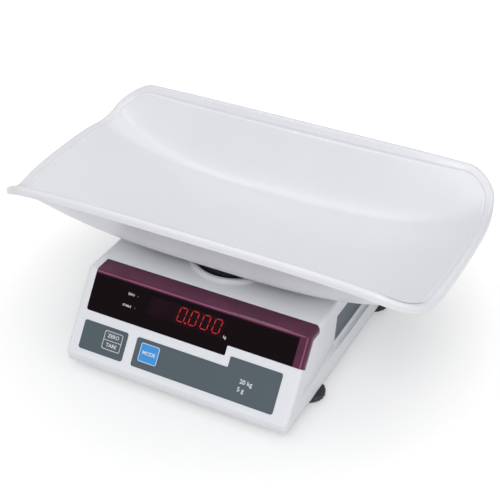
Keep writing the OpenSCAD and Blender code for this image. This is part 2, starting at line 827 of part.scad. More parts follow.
// H-shaped frame under the pan
module pan_spider() {
    reach = cushion_x + cushion_r + 4;
    color([0.12, 0.12, 0.13]) from_hub() difference() {
        union() {
            translate([0, pan_back, 0]) for (s = [-1, 1]) rail(reach, s * cushion_y);
            plate(-44, 44, pan_back - cushion_y, pan_back + cushion_y, 3, hub_top, hub_top + 4);
            plate(-34, 34, -34, 34, 8, hub_top, hub_top + 5.5);
            for (x = [-44, 40]) block(x, x + 4, pan_back - cushion_y, pan_back + cushion_y,
                hub_top, spider_top);
        }
        spider_bolts() cylinder(r = 2.3, h = 200);
        spider_bolts() translate([0, 0, hub_top + 5.5]) cylinder(r = 4.2, h = 20);
        cushion_positions() cylinder(r = 3 + run_gap, h = 200);
    }
}

// One rail: a channel, open below
module rail(reach, y) {
    difference() {
        plate(-reach, reach, y - rail_w / 2, y + rail_w / 2, 5, hub_top, spider_top);
        plate(46, reach - 3, y - rail_w / 2 + 3, y + rail_w / 2 - 3, 3, hub_top - 1, spider_top - 3);
        plate(-reach + 3, -46, y - rail_w / 2 + 3, y + rail_w / 2 - 3, 3, hub_top - 1, spider_top - 3);
    }
}

module cushion_positions() {
    for (x = [-cushion_x, cushion_x], y = [-cushion_y, cushion_y])
        translate([x, pan_back + y, 0]) children();
}

module spider_screws() {
    color("silver") from_hub() spider_bolts() {
        translate([0, 0, hub_top - 12]) cylinder(r = 2, h = 17.5);
        translate([0, 0, hub_top + 5.5]) cylinder(r = 3.6, h = 2.5);
    }
}

// Rubber studs that the pan rests on
module pan_cushions() {
    top = under_pan(cushion_r - cushion_x) - fit_gap;
    color([0.1, 0.1, 0.1]) from_hub() cushion_positions() {
        translate([0, 0, spider_top]) rotate_extrude() polygon(rounded(
            [[0, 0], [cushion_r, 0], [cushion_r - 0.5, top - spider_top], [0, top - spider_top]],
            [0, 0, 1.5, 0]));
        translate([0, 0, hub_top + 5]) cylinder(r = 3, h = spider_top - hub_top - 5);
    }
}

// ---------- pan ----------

// Height of the middle surface along the centre line
function floor_line(x) = mid_floor
    + ((x < 0 ? rim_end_left : rim_end_right) - mid_floor) * pow(min(abs(x) / pan_half, 1.1), end_power);

// Underside of the pan's floor at a distance x along it
function under_pan(x) = floor_line(x) + rim_r - pan_t;

// Zero on the floor, one at the rim, with a smooth fold between
function wall_rise(t, f) = t < -f ? 0 : t < f ? pow(t + f, 2) / (4 * f) : t;

// Half width of the rim at a distance x along the pan
function rim_half(x) = pan_half_w + flare * pow(abs(x) / pan_half, 4);

// Height of the middle surface
function mid_height(x, y) = let (
        run = rim_half(x) - fold_y,
        t = (abs(y) - fold_y) / run,
        low = floor_line(x),
        top = rim_side - rim_drop * pow(abs(x) / pan_half, 5)
    ) low + (top - low) * wall_rise(t, fold_half / run);

// Upward unit normal of the middle surface
function mid_normal(x, y) = let (h = 0.2) unit([
    -(mid_height(x + h, y) - mid_height(x - h, y)) / (2 * h),
    -(mid_height(x, y + h) - mid_height(x, y - h)) / (2 * h), 1]);

function shell_point(p, off) = [p.x, p.y, mid_height(p.x, p.y)] + off * mid_normal(p.x, p.y);

function quarter_point(a, b, r, bow, j) = let (
        y = min(j / end_steps, 1) * (b - r),
        t = 90 * max(min((j - end_steps) / corner_steps, 1), 0),
        s = min((quarter - j) / side_steps, 1),
        top = y + r * sin(t)
    ) [(a - r - bow * pow(top / b, 3)) * s + r * cos(t), top];

// Point j of a ring that lies at the share t of the way from the middle line to the rim
function ring_point(t, j) = let (
        b = pan_half_w * t,
        a = pan_half - pan_half_w * (1 - t),
        r = min(pan_corner * t, b * 0.98),
        q = floor(j / quarter),
        k = j - q * quarter,
        p = quarter_point(a, b, r, end_bow * t, q % 2 == 0 ? k : quarter - k),
        s = q == 0 ? [1, 1] : q == 1 ? [-1, 1] : q == 2 ? [-1, -1] : [1, -1]
    ) [s.x * p.x, s.y * p.y * rim_half(p.x) / pan_half_w];

function ring(t) = [for (j = [0:around - 1]) ring_point(t, j)];

// Outward plan direction of the rim at point j
function rim_out(points, j) = let (
        d = unit(points[(j + 1) % around] - points[(j + around - 1) % around])
    ) [d.y, -d.x];

// Shares of the way to the rim at which the shell has its rings
inner_shares = [0.06, 0.3, 0.5, 0.58, 0.64, 0.7, 0.76, 0.84, 0.92];
outer_shares = [0.94, 0.86, 0.78, 0.71, 0.64, 0.56, 0.42, 0.06];

// The rolled rim at point j: an arc from the wall's slope over the crest, then the skirt
function rim_section(rim, j) = let (
        p = rim[j],
        out = rim_out(rim, j),
        n = mid_normal(p.x, p.y),
        lean = acos(n.z),
        c = [p.x, p.y, mid_height(p.x, p.y)],
        o = [out.x, out.y, 0],
        up = [0, 0, 1],
        hem = rim_r - pan_t * 0.8
    ) concat(
        [for (i = [0:5]) let (a = lean - (lean + 90) * i / 5) c + rim_r * (cos(a) * up - sin(a) * o)],
        [c + rim_r * o - skirt * up, c + hem * o - skirt * up, c + hem * o - up,
         c + (rim_r - pan_t) * (cos(lean) * up - sin(lean) * o)]);

module pan_shell() {
    rim = ring(1);
    sections = [for (j = [0:around - 1]) rim_section(rim, j)];
    inner = [for (t = inner_shares) [for (p = ring(t)) shell_point(p, rim_r)]];
    edge = [for (i = [0:len(sections[0]) - 1]) [for (s = sections) s[i]]];
    outer = [for (t = outer_shares) [for (p = ring(t)) shell_point(p, rim_r - pan_t)]];
    rings = concat(inner, edge, outer);
    last = len(rings) - 1;
    points = [for (r = rings) each r];
    half = around / 2;
    skin = [for (i = [0:last - 1], j = [0:around - 1])
        let (k = (j + 1) % around, a = i * around + j, b = i * around + k)
        each [[a, a + around, b + around], [a, b + around, b]]];
    caps = [for (j = [0:half - 1]) let (e = last * around, m = (around - j) % around, k = around - j - 1)
        each concat(
            j == 0 ? [] : [[j, j + 1, m], [e + j, e + m, e + j + 1]],
            j == half - 1 ? [] : [[j + 1, k, m], [e + j + 1, e + m, e + k]])];
    polyhedron(points, concat(skin, caps), convexity = 6);
}

module pan() color([0.93, 0.93, 0.95]) from_hub() translate([0, pan_back, 0]) pan_shell();

// ---------- power ----------

module battery() {
    color([0.2, 0.22, 0.25]) from_hub() {
        plate(-battery_w / 2, battery_w / 2, battery_y + 0.5, battery_y + battery_len, 2,
            battery_z, battery_z + battery_h);
        for (x = [-20, 20]) block(x - 3.2, x + 3.2, battery_y + 6, battery_y + 7,
            battery_z + battery_h, battery_z + battery_h + 6);
    }
}

// Strap that holds the battery down on the tray
module battery_clamp() {
    x = battery_w / 2 + 0.5;
    y = battery_y + battery_len / 2;
    foot_z = inside_z + 2.5;
    top_z = battery_z + battery_h + 0.2;
    color("gainsboro") from_hub() {
        along(y - 8, y + 8) polygon([
            [-x - 8, foot_z], [-x, foot_z], [-x, top_z], [x, top_z], [x, foot_z], [x + 8, foot_z],
            [x + 8, foot_z + 2], [x + 2, foot_z + 2], [x + 2, top_z + 2], [-x - 2, top_z + 2],
            [-x - 2, foot_z + 2], [-x - 8, foot_z + 2]]);
    }
}

module battery_door() {
    color("whitesmoke") from_hub() difference() {
        plate(-door_w / 2, door_w / 2, battery_y - 2, battery_y + door_len - 2, 1,
            door_z, door_z + door_t);
        // finger grooves
        for (i = [0:4]) block(-door_w / 2 + 6 + 3 * i, -door_w / 2 + 7.5 + 3 * i,
            battery_y + 35, battery_y + 67, foot_h, door_z + 0.8);
    }
}

module transformer() {
    z = foot_h + 7;
    color("darkslategray") from_hub() {
        difference() {
            block(56, 118, 74, 90, z, z + 2);
            transformer_ears() translate([0, 0, z - 1]) cylinder(r = 2.2, h = 4);
        }
        block(68, 106, 72, 92, z + 2, z + 38);
        for (y = [61, 92]) plate(74, 100, y, y + 11, 3, z + 8, z + 32);
    }
}

module power_inlet() {
    flange = 2.4;
    color([0.08, 0.08, 0.08]) from_hub() difference() {
        union() {
            along(body_rear - inlet_depth, body_rear) polygon(inlet_outline(0, 0));
            along(body_rear, body_rear + flange) polygon(inlet_outline(3, 0));
        }
        along(body_rear - inlet_depth + 3, body_rear + flange + 1) polygon(inlet_outline(0, 2.2));
    }
    color("silver") from_hub() for (x = [-7, 0, 7])
        block(inlet_x + x - 1, inlet_x + x + 1, body_rear - inlet_depth - 6, body_rear - 4,
            inlet_z - 2 + (x == 0 ? 4 : 0), inlet_z + 2 + (x == 0 ? 4 : 0));
}

module switch_frame() {
    color([0.08, 0.08, 0.08]) from_hub() difference() {
        union() {
            along(body_rear - 14, body_rear) polygon(switch_outline(0));
            along(body_rear, body_rear + 1.6) polygon(switch_outline(1.8));
        }
        along(body_rear - 11, body_rear + 3) polygon(box_points(
            switch_x - rocker_w / 2 - fit_gap, switch_x + rocker_w / 2 + fit_gap,
            inlet_z - rocker_h / 2 - fit_gap, inlet_z + rocker_h / 2 + fit_gap));
        rocker_axis() cylinder(r = 1.2 + run_gap, h = rocker_w + 3, center = true);
    }
}

module rocker_axis() translate([switch_x, body_rear - 4, inlet_z]) rotate([0, 90, 0]) children();

// Rocker tipped to its off side
module power_rocker() {
    tilt = 8;
    color([0.75, 0.1, 0.08]) from_hub() {
        rocker_axis() cylinder(r = 1.2, h = rocker_w + 2.4, center = true);
        translate([switch_x, body_rear - 4, inlet_z]) rotate([tilt, 0, 0])
            across(-rocker_w / 2, rocker_w / 2) polygon(rounded(
                [[-3, -3], [3.6, -rocker_h / 2 + 1.2], [6.4, -rocker_h / 2 + 1.2], [4.6, 0],
                 [6.4, rocker_h / 2 - 1.2], [3.6, rocker_h / 2 - 1.2], [-3, 3]],
                [1, 0.5, 0.5, 0, 0.5, 0.5, 1], 3));
    }
}

// ---------- small parts ----------

vial_x = -108;
vial_y = 122;

// Vent slots in the rear wall
vent_count = 9;
vent_pitch = 7;
vent_x = -104;

module vial_pocket() translate([vial_x, vial_y, body_top - 9]) cylinder(r = 9 + seat_gap, h = 20);

// Round spirit level in the top of the housing
module level_vial() {
    color([0.7, 0.85, 0.3]) from_hub() translate([vial_x, vial_y, body_top - 6]) rotate_extrude()
        polygon([[0, 0], [9, 0], [9, 6], [10.5, 6], [10.5, 7.2], [7.5, 7.2], [7.5, 5.4], [0, 5.8]]);
}

module foot_inserts() {
    color("goldenrod") from_hub() foot_positions() translate([0, 0, foot_h]) difference() {
        cylinder(r = insert_r() - 0.01, h = 14);
        translate([0, 0, -1]) cylinder(r = stem_r + run_gap, h = 30);
    }
}

module housing_screws() {
    color("silver") from_hub() housing_screw_positions() {
        translate([0, 0, foot_h + 2.4]) cylinder(r = 3, h = 2.6);
        translate([0, 0, foot_h + 5]) cylinder(r = 1.55, h = 22);
    }
}

// Knurled wheel on its threaded stem
module foot_wheel(x, y) {
    low = 3.2;
    high = foot_h - 0.8;
    color([0.07, 0.07, 0.07]) from_hub() translate([x, y, 0]) difference() {
        union() {
            translate([0, 0, low]) rotate_extrude() polygon(rounded(
                [[0, 0], [foot_r - 2, 0], [foot_r, 1.6], [foot_r, high - low - 1.6],
                 [foot_r - 2, high - low], [0, high - low]], 0));
            translate([0, 0, high]) cylinder(r = stem_r, h = 22);
        }
        for (i = [0:foot_notches - 1]) rotate(i * 360 / foot_notches)
            translate([foot_r + 1.2, 0, 0]) cylinder(r = 2.2, h = 30, $fn = 20);
        translate([0, 0, low - 1]) cylinder(r = 6 + run_gap, h = 5);
    }
}

module foot_wheel_fl() foot_wheel(-foot_x, -foot_front);
module foot_wheel_fr() foot_wheel(foot_x, -foot_front);
module foot_wheel_rl() foot_wheel(-foot_x, foot_back);
module foot_wheel_rr() foot_wheel(foot_x, foot_back);

// Rubber pad with the boss that the wheel turns on
module foot_pad(x, y) {
    color([0.05, 0.05, 0.05]) from_hub() translate([x, y, 0]) rotate_extrude() polygon(
        [[0, 0], [14, 0], [15, 1], [15, 2.9], [6, 2.9], [6, 6.9], [0, 6.9]]);
}

module foot_pad_fl() foot_pad(-foot_x, -foot_front);
module foot_pad_fr() foot_pad(foot_x, -foot_front);
module foot_pad_rl() foot_pad(-foot_x, foot_back);
module foot_pad_rr() foot_pad(foot_x, foot_back);

base_tray();
top_housing();
side_panel_left();
side_panel_right();
display_window();
left_key_overlay();
right_key_overlay();
zero_tare_key();
mode_key();
zero_tare_plunger();
mode_plunger();
tact_switches();
key_board();
display_board();
led_digits();
indicator_leds();
main_board();
board_components();
load_cell();
cell_spacer();
cell_bolts();
platform_bracket();
bracket_bolts();
overload_stops();
load_hub();
pan_spider();
spider_screws();
pan_cushions();
pan();
battery();
battery_clamp();
battery_door();
transformer();
power_inlet();
switch_frame();
power_rocker();
level_vial();
foot_inserts();
housing_screws();
foot_wheel_fl();
foot_wheel_fr();
foot_wheel_rl();
foot_wheel_rr();
foot_pad_fl();
foot_pad_fr();
foot_pad_rl();
foot_pad_rr();
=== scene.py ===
"""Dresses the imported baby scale: pan, display, key printing, finishes, light and camera."""
import json
import math

import bpy
import bmesh
from mathutils import Matrix, Vector


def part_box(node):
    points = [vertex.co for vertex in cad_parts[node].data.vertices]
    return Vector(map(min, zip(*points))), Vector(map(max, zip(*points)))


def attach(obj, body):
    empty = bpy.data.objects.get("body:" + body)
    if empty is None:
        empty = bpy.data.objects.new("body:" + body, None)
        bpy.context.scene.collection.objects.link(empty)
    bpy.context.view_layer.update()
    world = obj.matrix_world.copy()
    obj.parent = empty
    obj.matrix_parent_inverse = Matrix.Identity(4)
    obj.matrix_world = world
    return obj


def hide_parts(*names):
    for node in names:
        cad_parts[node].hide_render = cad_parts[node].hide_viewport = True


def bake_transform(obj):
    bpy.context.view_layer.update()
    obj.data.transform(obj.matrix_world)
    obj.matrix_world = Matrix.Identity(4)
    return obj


bl_info = {
    "name": "Baby scale dresser",
    "version": (1, 0, 0),
    "blender": (4, 5, 0),
    "location": "3D View > Sidebar > Baby scale",
    "description": "Builds the pan, the lit display and the finishes of a digital baby scale",
    "category": "Object",
}

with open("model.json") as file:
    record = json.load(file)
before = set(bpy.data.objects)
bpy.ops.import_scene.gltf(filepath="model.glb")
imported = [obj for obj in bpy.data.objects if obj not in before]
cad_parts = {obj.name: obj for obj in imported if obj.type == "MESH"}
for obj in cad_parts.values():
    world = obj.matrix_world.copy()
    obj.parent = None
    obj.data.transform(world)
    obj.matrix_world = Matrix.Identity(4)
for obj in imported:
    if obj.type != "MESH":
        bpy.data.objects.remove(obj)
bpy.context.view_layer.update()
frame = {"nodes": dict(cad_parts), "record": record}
NODES = frame["nodes"]
DIGIT_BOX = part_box("led_digits")

MM = 0.001             # a millimetre in metres; up to the camera, lengths are in millimetres
HUB_Y = -10.2          # the hub's axis in the frame's y
PAN_BEHIND_HUB = 32.0  # from the hub's axis to the middle of the pan
FACE_ANGLE = 54.6      # slope of the console face, in degrees
FACE_FOOT = (0.0, -163.5 + HUB_Y, 23.5)

# Across and up the console face
LAMP_X = -73.6
LAMP_HEIGHTS = (89.4, 75.0)
LAMP_RADIUS = 0.9
DIGITS_MIDDLE = 9.0
DIGITS_UP = 84.5
DIGIT_PITCH = 15.6
DIGIT_LEVEL = -5.66    # front of the display module, behind the face
KEYS_UP = 28.5
KEY_HALF_WIDTH = 12.8
KEY_HALF_HEIGHT = 11.4
KEY_TOP = 0.7          # top of a key, out of the face
INK_SUNK = 0.02        # how far ink reaches into what it is printed on
INK_PROUD = 0.04       # how far it stands out of it
WORD_LEVEL = 0.02      # middle of a word's ink, out of what it is printed on
PAD_PITCH = 2.54       # between the pads of a circuit board
GROOVE_START = 0.945   # share of the way to the rim at which the pan's groove begins

# Camera of the photograph, fitted to the body's edges
CAMERA_PLACE = (0.5792, (-1073.8 + HUB_Y) * MM, 0.9635)     # in metres
CAMERA_ABOVE = 34.7    # degrees above the horizon
CAMERA_ASIDE = 27.6    # degrees to the right of the front
FOCAL_PIXELS = 1216.7
PICTURE_PIXELS = 500
SENSOR_WIDTH = 36.0    # of the render's camera, in millimetres


# ---------------------------------------------------------------- nodes as expressions

class Wire:
    """A node socket that adds Math nodes when it is used in an expression."""

    def __init__(self, bench, socket):
        self.bench = bench
        self.socket = socket

    def _math(self, operation, *values):
        return self.bench.node("ShaderNodeMath", {"operation": operation}, list(values))

    def __add__(self, other):
        return self._math("ADD", self, other)

    __radd__ = __add__

    def __sub__(self, other):
        return self._math("SUBTRACT", self, other)

    def __rsub__(self, other):
        return self._math("SUBTRACT", other, self)

    def __mul__(self, other):
        return self._math("MULTIPLY", self, other)

    __rmul__ = __mul__

    def __truediv__(self, other):
        return self._math("DIVIDE", self, other)

    def __rtruediv__(self, other):
        return self._math("DIVIDE", other, self)

    def __pow__(self, other):
        return self._math("POWER", self, other)

    def __neg__(self):
        return self._math("MULTIPLY", self, -1.0)

    def __abs__(self):
        return self._math("ABSOLUTE", self)

    def sin(self):
        return self._math("SINE", self)

    def cos(self):
        return self._math("COSINE", self)

    def floor(self):
        return self._math("FLOOR", self)

    def mod(self, other):
        return self._math("FLOORED_MODULO", self, other)

    def least(self, other):
        return self._math("MINIMUM", self, other)

    def most(self, other):
        return self._math("MAXIMUM", self, other)

    def above(self, other):
        return self._math("GREATER_THAN", self, other)

    def ramp(self, low, high):
        """0 below low, 1 above high, smooth between."""
        return self.bench.node(
            "ShaderNodeMapRange", {"interpolation_type": "SMOOTHSTEP"},
            {0: self, 1: low, 2: high, 3: 0.0, 4: 1.0})

    def clamp(self):
        return self.least(1.0).most(0.0)


class Bench:
    """A node tree under work: one method makes any node."""

    def __init__(self, tree):
        self.tree = tree

    def node(self, kind, settings=None, values=None, out=0):
        made = self.tree.nodes.new(kind)
        for key, value in (settings or {}).items():
            if key == "stops":
                stops = made.color_ramp.elements
                while len(stops) < len(value):
                    stops.new(0.5)
                for stop, (place, colour) in zip(stops, value):
                    stop.position = place
                    stop.color = colour
            else:
                setattr(made, key, value)
        if isinstance(values, (list, tuple)):
            values = dict(enumerate(values))
        for key, value in (values or {}).items():
            target = made.inputs[key]
            if isinstance(value, Wire):
                self.tree.links.new(value.socket, target)
            elif value is not None:
                target.default_value = value
        made.select = False
        return Wire(self, made.outputs[out] if made.outputs else None)

    def split(self, vector):
        """x, y and z of a vector."""
        kind = "ShaderNodeSeparateXYZ"
        first = self.node(kind, {}, [vector])
        outs = first.socket.node.outputs
        return [Wire(self, outs[i]) for i in range(3)]

    def join(self, x, y, z):
        return self.node("ShaderNodeCombineXYZ", {}, [x, y, z])

    def blend(self, share, first, second, mode="MIX"):
        """Mixes two colours by share."""
        return self.node(
            "ShaderNodeMix", {"data_type": "RGBA", "blend_type": mode},
            {0: share, 6: first, 7: second}, out=2)


def finish_of(name, colour, rough, metal=0.0, coat=None, **constants):
    """A new material with a Principled shader, its bench and its object coordinates."""
    material = bpy.data.materials.new(name)
    material.use_nodes = True
    bench = Bench(material.node_tree)
    shader = material.node_tree.nodes["Principled BSDF"]
    shader.inputs["Base Color"].default_value = (*colour, 1.0)
    shader.inputs["Roughness"].default_value = rough
    shader.inputs["Metallic"].default_value = metal
    if coat:
        shader.inputs["Coat Weight"].default_value = coat[0]
        shader.inputs["Coat Roughness"].default_value = coat[1]
    for key, value in constants.items():
        shader.inputs[key.replace("_", " ")].default_value = value
    place = bench.node("ShaderNodeTexCoord", {}, {}, out=3)
    return material, bench, shader, place


def plug(bench, wire, node, socket):
    """Links a value to a socket of a node."""
    bench.tree.links.new(wire.socket, node.inputs[socket])


def noise(bench, place, scale, detail=3.0, rough=0.5, out=0):
    return bench.node("ShaderNodeTexNoise", {}, {
        "Vector": place, "Scale": scale, "Detail": detail, "Roughness": rough}, out=out)


def bump(bench, shader, height, strength, distance):
    made = bench.node("ShaderNodeBump", {}, {
        "Height": height, "Strength": strength, "Distance": distance})
    plug(bench, made, shader, "Normal")


def paint(material, *names):
    """Gives CAD nodes a material in every slot."""
    for name in names:
        slots = NODES[name].material_slots
        if not slots:
            NODES[name].data.materials.append(material)
        for place in slots:
            place.material = material


# ---------------------------------------------------------------- finishes

def moulded(name, colour, rough, grain=0.15, grain_scale=900.0, coat=None, soil=0.04,
            waves=0.0):
    """Moulded plastic: a fine grain, slow variation of gloss and a trace of use."""
    material, bench, shader, place = finish_of(name, colour, rough, coat=coat)
    slow = noise(bench, place, 9.0, 2.0)
    patch = noise(bench, place, 60.0, 4.0, 0.6)
    dark = tuple(c * (1.0 - soil * 2.2) for c in colour)
    tint = bench.blend(slow.ramp(0.2, 0.8), (*colour, 1.0), (*dark, 1.0))
    plug(bench, tint, shader, "Base Color")
    plug(bench, (patch - 0.5) * 0.05 + (slow - 0.5) * 0.06 + rough, shader, "Roughness")
    grain_height = noise(bench, place, grain_scale, 2.0)
    if waves:
        grain_height = grain_height * grain + noise(bench, place, 22.0, 1.0) * waves
        bump(bench, shader, grain_height, 1.0, 0.0002)
    else:
        bump(bench, shader, grain_height, grain, 0.0001)
    return material


def metal(name, colour, rough, streak=(1.0, 1.0, 1.0), spots=0.0):
    """Plated, milled or turned metal with fine directional streaks."""
    material, bench, shader, place = finish_of(name, colour, rough, metal=1.0)
    stretched = bench.node("ShaderNodeMapping", {}, {"Vector": place, "Scale": streak})
    lines = noise(bench, stretched, 500.0, 3.0)
    cloud = noise(bench, place, 70.0, 4.0, 0.65)
    dull = tuple(c * 0.72 for c in colour)
    tint = bench.blend(cloud.ramp(0.42, 0.75) * (0.35 + spots), (*colour, 1.0), (*dull, 1.0))
    plug(bench, tint, shader, "Base Color")
    plug(bench, rough + (lines - 0.5) * 0.22 + (cloud - 0.5) * 0.12, shader, "Roughness")
    bump(bench, shader, lines, 0.18, 0.00008)
    return material


def powder_coat(name, colour, rough):
    """Powder coat: a fine orange peel."""
    material, bench, shader, place = finish_of(name, colour, rough)
    peel = noise(bench, place, 420.0, 2.0)
    shade = tuple(c * 0.85 for c in colour)
    plug(bench, bench.blend(peel.ramp(0.3, 0.8), (*colour, 1.0), (*shade, 1.0)),
         shader, "Base Color")
    plug(bench, rough + (peel - 0.5) * 0.2, shader, "Roughness")
    bump(bench, shader, peel, 0.35, 0.00015)
    return material


def soft_rubber(name, colour, rough=0.72):
    """Rubber with a little dust in its surface."""
    material, bench, shader, place = finish_of(name, colour, rough, Specular_IOR_Level=0.35)
    dust = noise(bench, place, 140.0, 5.0, 0.7)
    dusty = (0.11, 0.11, 0.11, 1.0)
    plug(bench, bench.blend(dust.ramp(0.5, 0.85) * 0.5, (*colour, 1.0), dusty),
         shader, "Base Color")
    plug(bench, rough + (dust - 0.5) * 0.25, shader, "Roughness")
    bump(bench, shader, noise(bench, place, 700.0, 3.0), 0.4, 0.0001)
    return material


def circuit_board(name, mask=(0.015, 0.13, 0.06), trace=(0.05, 0.26, 0.12)):
    """Solder mask with copper tracks under it and rows of tinned pads."""
    material, bench, shader, place = finish_of(name, (0.02, 0.16, 0.07), 0.35, coat=(0.4, 0.25))
    x, y, z = bench.split(place)
    angle = math.radians(FACE_ANGLE)
    slanted = y * math.cos(angle) + z * math.sin(angle)
    rows = abs((slanted / (PAD_PITCH * MM)).mod(1.0) - 0.5)
    columns = abs((x / (PAD_PITCH * MM)).mod(1.0) - 0.5)
    region = noise(bench, place, 55.0, 1.0)
    tracks = rows.above(0.36) * region.above(0.5)
    crossing = columns.above(0.38) * region.above(0.58)
    copper = tracks.most(crossing)
    dots = (rows * rows + columns * columns) ** 0.5
    pads = (1.0 - dots.above(0.2)) * noise(bench, place, 90.0, 0.0).above(0.57)
    green = bench.blend(copper, (*mask, 1.0), (*trace, 1.0))
    plug(bench, bench.blend(pads, green, (0.72, 0.72, 0.70, 1.0)), shader, "Base Color")
    plug(bench, pads, shader, "Metallic")
    bump(bench, shader, copper + pads, 0.3, 0.00005)
    return material


def make_finishes(kit):
    """Every finish of the scale by its slot name."""
    white = tuple(kit.housing_colour)
    tray = tuple(c * 0.96 for c in white)
    film = {"grain": 0.35, "grain_scale": 1400.0, "soil": 0.02}
    return {
        "housing_white": moulded("housing_white", white, 0.34, grain=0.10,
                                 coat=(0.12, 0.25), soil=0.012),
        "pan_white": moulded("pan_white", tuple(kit.pan_colour), 0.30, grain=0.05,
                             coat=(0.30, 0.20), soil=0.012, waves=0.08),
        "tray_white": moulded("tray_white", tray, 0.5, grain=0.5, soil=0.03),
        "slate_film": moulded("slate_film", tuple(kit.slate_colour), 0.42, **film),
        "blue_key": moulded("blue_key", tuple(kit.key_colour), 0.40, **film),
        "black_plastic": moulded("black_plastic", (0.018, 0.018, 0.02), 0.45,
                                 grain=0.5, soil=-0.25),
        "rubber": soft_rubber("rubber", (0.02, 0.02, 0.02)),
        "load_cell_alu": metal("load_cell_alu", (0.80, 0.81, 0.83), 0.32, (0.04, 1.0, 1.0)),
        "plated_steel": metal("plated_steel", (0.66, 0.66, 0.68), 0.3, (1.0, 1.0, 0.2), spots=0.2),
        "brass": metal("brass", (0.78, 0.58, 0.27), 0.28, (1.0, 1.0, 0.1), spots=0.2),
        "grey_steel": powder_coat("grey_steel", (0.20, 0.22, 0.25), 0.45),
        "board_green": circuit_board("board_green"),
        "board_black": circuit_board("board_black", (0.006, 0.006, 0.007),
                                     (0.018, 0.018, 0.020)),
        "battery_grey": moulded("battery_grey", (0.10, 0.11, 0.13), 0.5, grain=0.6, soil=-0.1),
        "rocker_red": moulded("rocker_red", (0.50, 0.03, 0.02), 0.3, grain=0.1, soil=0.1),
    }


def window_finish(kit):
    """Tinted acrylic: black where it is masked from behind, purple where only the tint is left,
    and see-through over the digits."""
    tint = tuple(kit.tint_colour)
    material, bench, shader, place = finish_of("tinted_acrylic", tint, 0.12, coat=(0.08, 0.04),
                                               Specular_IOR_Level=0.12)
    x, y, z = bench.split(place)
    angle = math.radians(FACE_ANGLE)
    fy = y - FACE_FOOT[1] * MM
    fz = z - FACE_FOOT[2] * MM
    up = fy * math.cos(angle) + fz * math.sin(angle)
    out = fz * math.cos(angle) - fy * math.sin(angle)
    grain = noise(bench, place, 30.0, 2.0)
    # how deep the black mask reaches: over the face but not on its right edge or the bend
    masked = (1.0 - x.ramp(0.1355, 0.1365)) * (1.0 - up.ramp(0.1015, 0.1035))
    masked = masked * out.ramp(-0.0012, -0.0006)
    middle = (DIGIT_BOX[0][0] + DIGIT_BOX[1][0]) / 2
    reach = (DIGIT_BOX[1][0] - DIGIT_BOX[0][0]) / 2
    hole = 1.0 - abs(x - middle).ramp(reach + 0.0045, reach + 0.005)
    hole = hole * (1.0 - abs(up - DIGITS_UP * MM).ramp(0.0115, 0.0125))
    for lamp_up in LAMP_HEIGHTS:
        near = ((x - LAMP_X * MM) ** 2.0 + (up - lamp_up * MM) ** 2.0) ** 0.5
        hole = hole.most(1.0 - near.ramp(0.0013, 0.0015))
    light = tuple(c * 1.25 for c in tint)
    # colour of the painted highlight along the bend and the right edge
    painted_highlight = tuple(c * 4.0 + 0.05 for c in tint)
    painted_shade = tuple(c * 0.35 for c in tint)
    purple = bench.blend(grain.ramp(0.3, 0.7), (*tint, 1.0), (*light, 1.0))
    # painted highlight: thin lighter lines painted into the base colour along the bend and down
    # the right edge
    bend = (1.0 - ((up - 0.1046) / 0.0010) ** 2.0).most(0.0) * (1.0 - x.ramp(0.140, 0.144))
    edge = (1.0 - ((x - 0.1452) / 0.0011) ** 2.0).most(0.0) * (1.0 - up.ramp(0.1035, 0.1055))
    purple = bench.blend(bend.most(edge) * (0.4 + grain * 0.5), purple, (*painted_highlight, 1.0))
    # painted shade: the strip over the bend is darkened towards its top
    purple = bench.blend(up.ramp(0.106, 0.125) * 0.5, purple, (*painted_shade, 1.0))
    plug(bench, bench.blend(masked, purple, (0.0045, 0.0012, 0.0025, 1.0)), shader, "Base Color")
    plug(bench, 1.0 - hole * out.above(-0.004) * 0.38, shader, "Alpha")
    plug(bench, 0.5 - masked * 0.46, shader, "Coat Weight")
    plug(bench, 0.10 + grain * 0.06, shader, "Roughness")
    bump(bench, shader, noise(bench, place, 14.0, 1.0), 0.06, 0.0004)
    return material


def vial_finish():
    """Spirit level: green liquid with a bubble and a black ring round it."""
    material, bench, shader, place = finish_of("vial_green", (0.55, 0.75, 0.10), 0.06,
                                               coat=(1.0, 0.03))
    x, y, _ = bench.split(place)
    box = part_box("level_vial")
    cx = (box[0][0] + box[1][0]) / 2
    cy = (box[0][1] + box[1][1]) / 2
    bubble_x, bubble_y = cx + 0.0006, cy - 0.0004
    spread = ((x - cx) * (x - cx) + (y - cy) * (y - cy)) ** 0.5
    off = ((x - bubble_x) * (x - bubble_x) + (y - bubble_y) * (y - bubble_y)) ** 0.5
    ring = spread.ramp(0.0033, 0.00345) * (1.0 - spread.ramp(0.00385, 0.0040))
    bubble = 1.0 - off.ramp(0.0023, 0.0027)
    rim = spread.ramp(0.0073, 0.0075)
    liquid = bench.blend(bubble, (0.50, 0.72, 0.07, 1.0), (0.82, 0.92, 0.52, 1.0))
    ringed = bench.blend(ring, liquid, (0.01, 0.01, 0.01, 1.0))
    plug(bench, bench.blend(rim, ringed, (0.80, 0.81, 0.83, 1.0)), shader, "Base Color")
    plug(bench, 0.05 + rim * 0.35, shader, "Roughness")
    bump(bench, shader, bubble, 0.6, 0.0006)
    return material


def lamp_finish(name, colour, strength, dark=None):
    """A lit segment or indicator."""
    material, bench, shader, place = finish_of(name, dark or colour, 0.35)
    red, green, blue = colour
    glow = noise(bench, place, 700.0, 1.0)
    warm = bench.blend(glow.ramp(0.2, 0.8), (*colour, 1.0), (red, green + 0.02, blue + 0.01, 1.0))
    plug(bench, warm, shader, "Emission Color")
    shader.inputs["Emission Strength"].default_value = strength
    return material


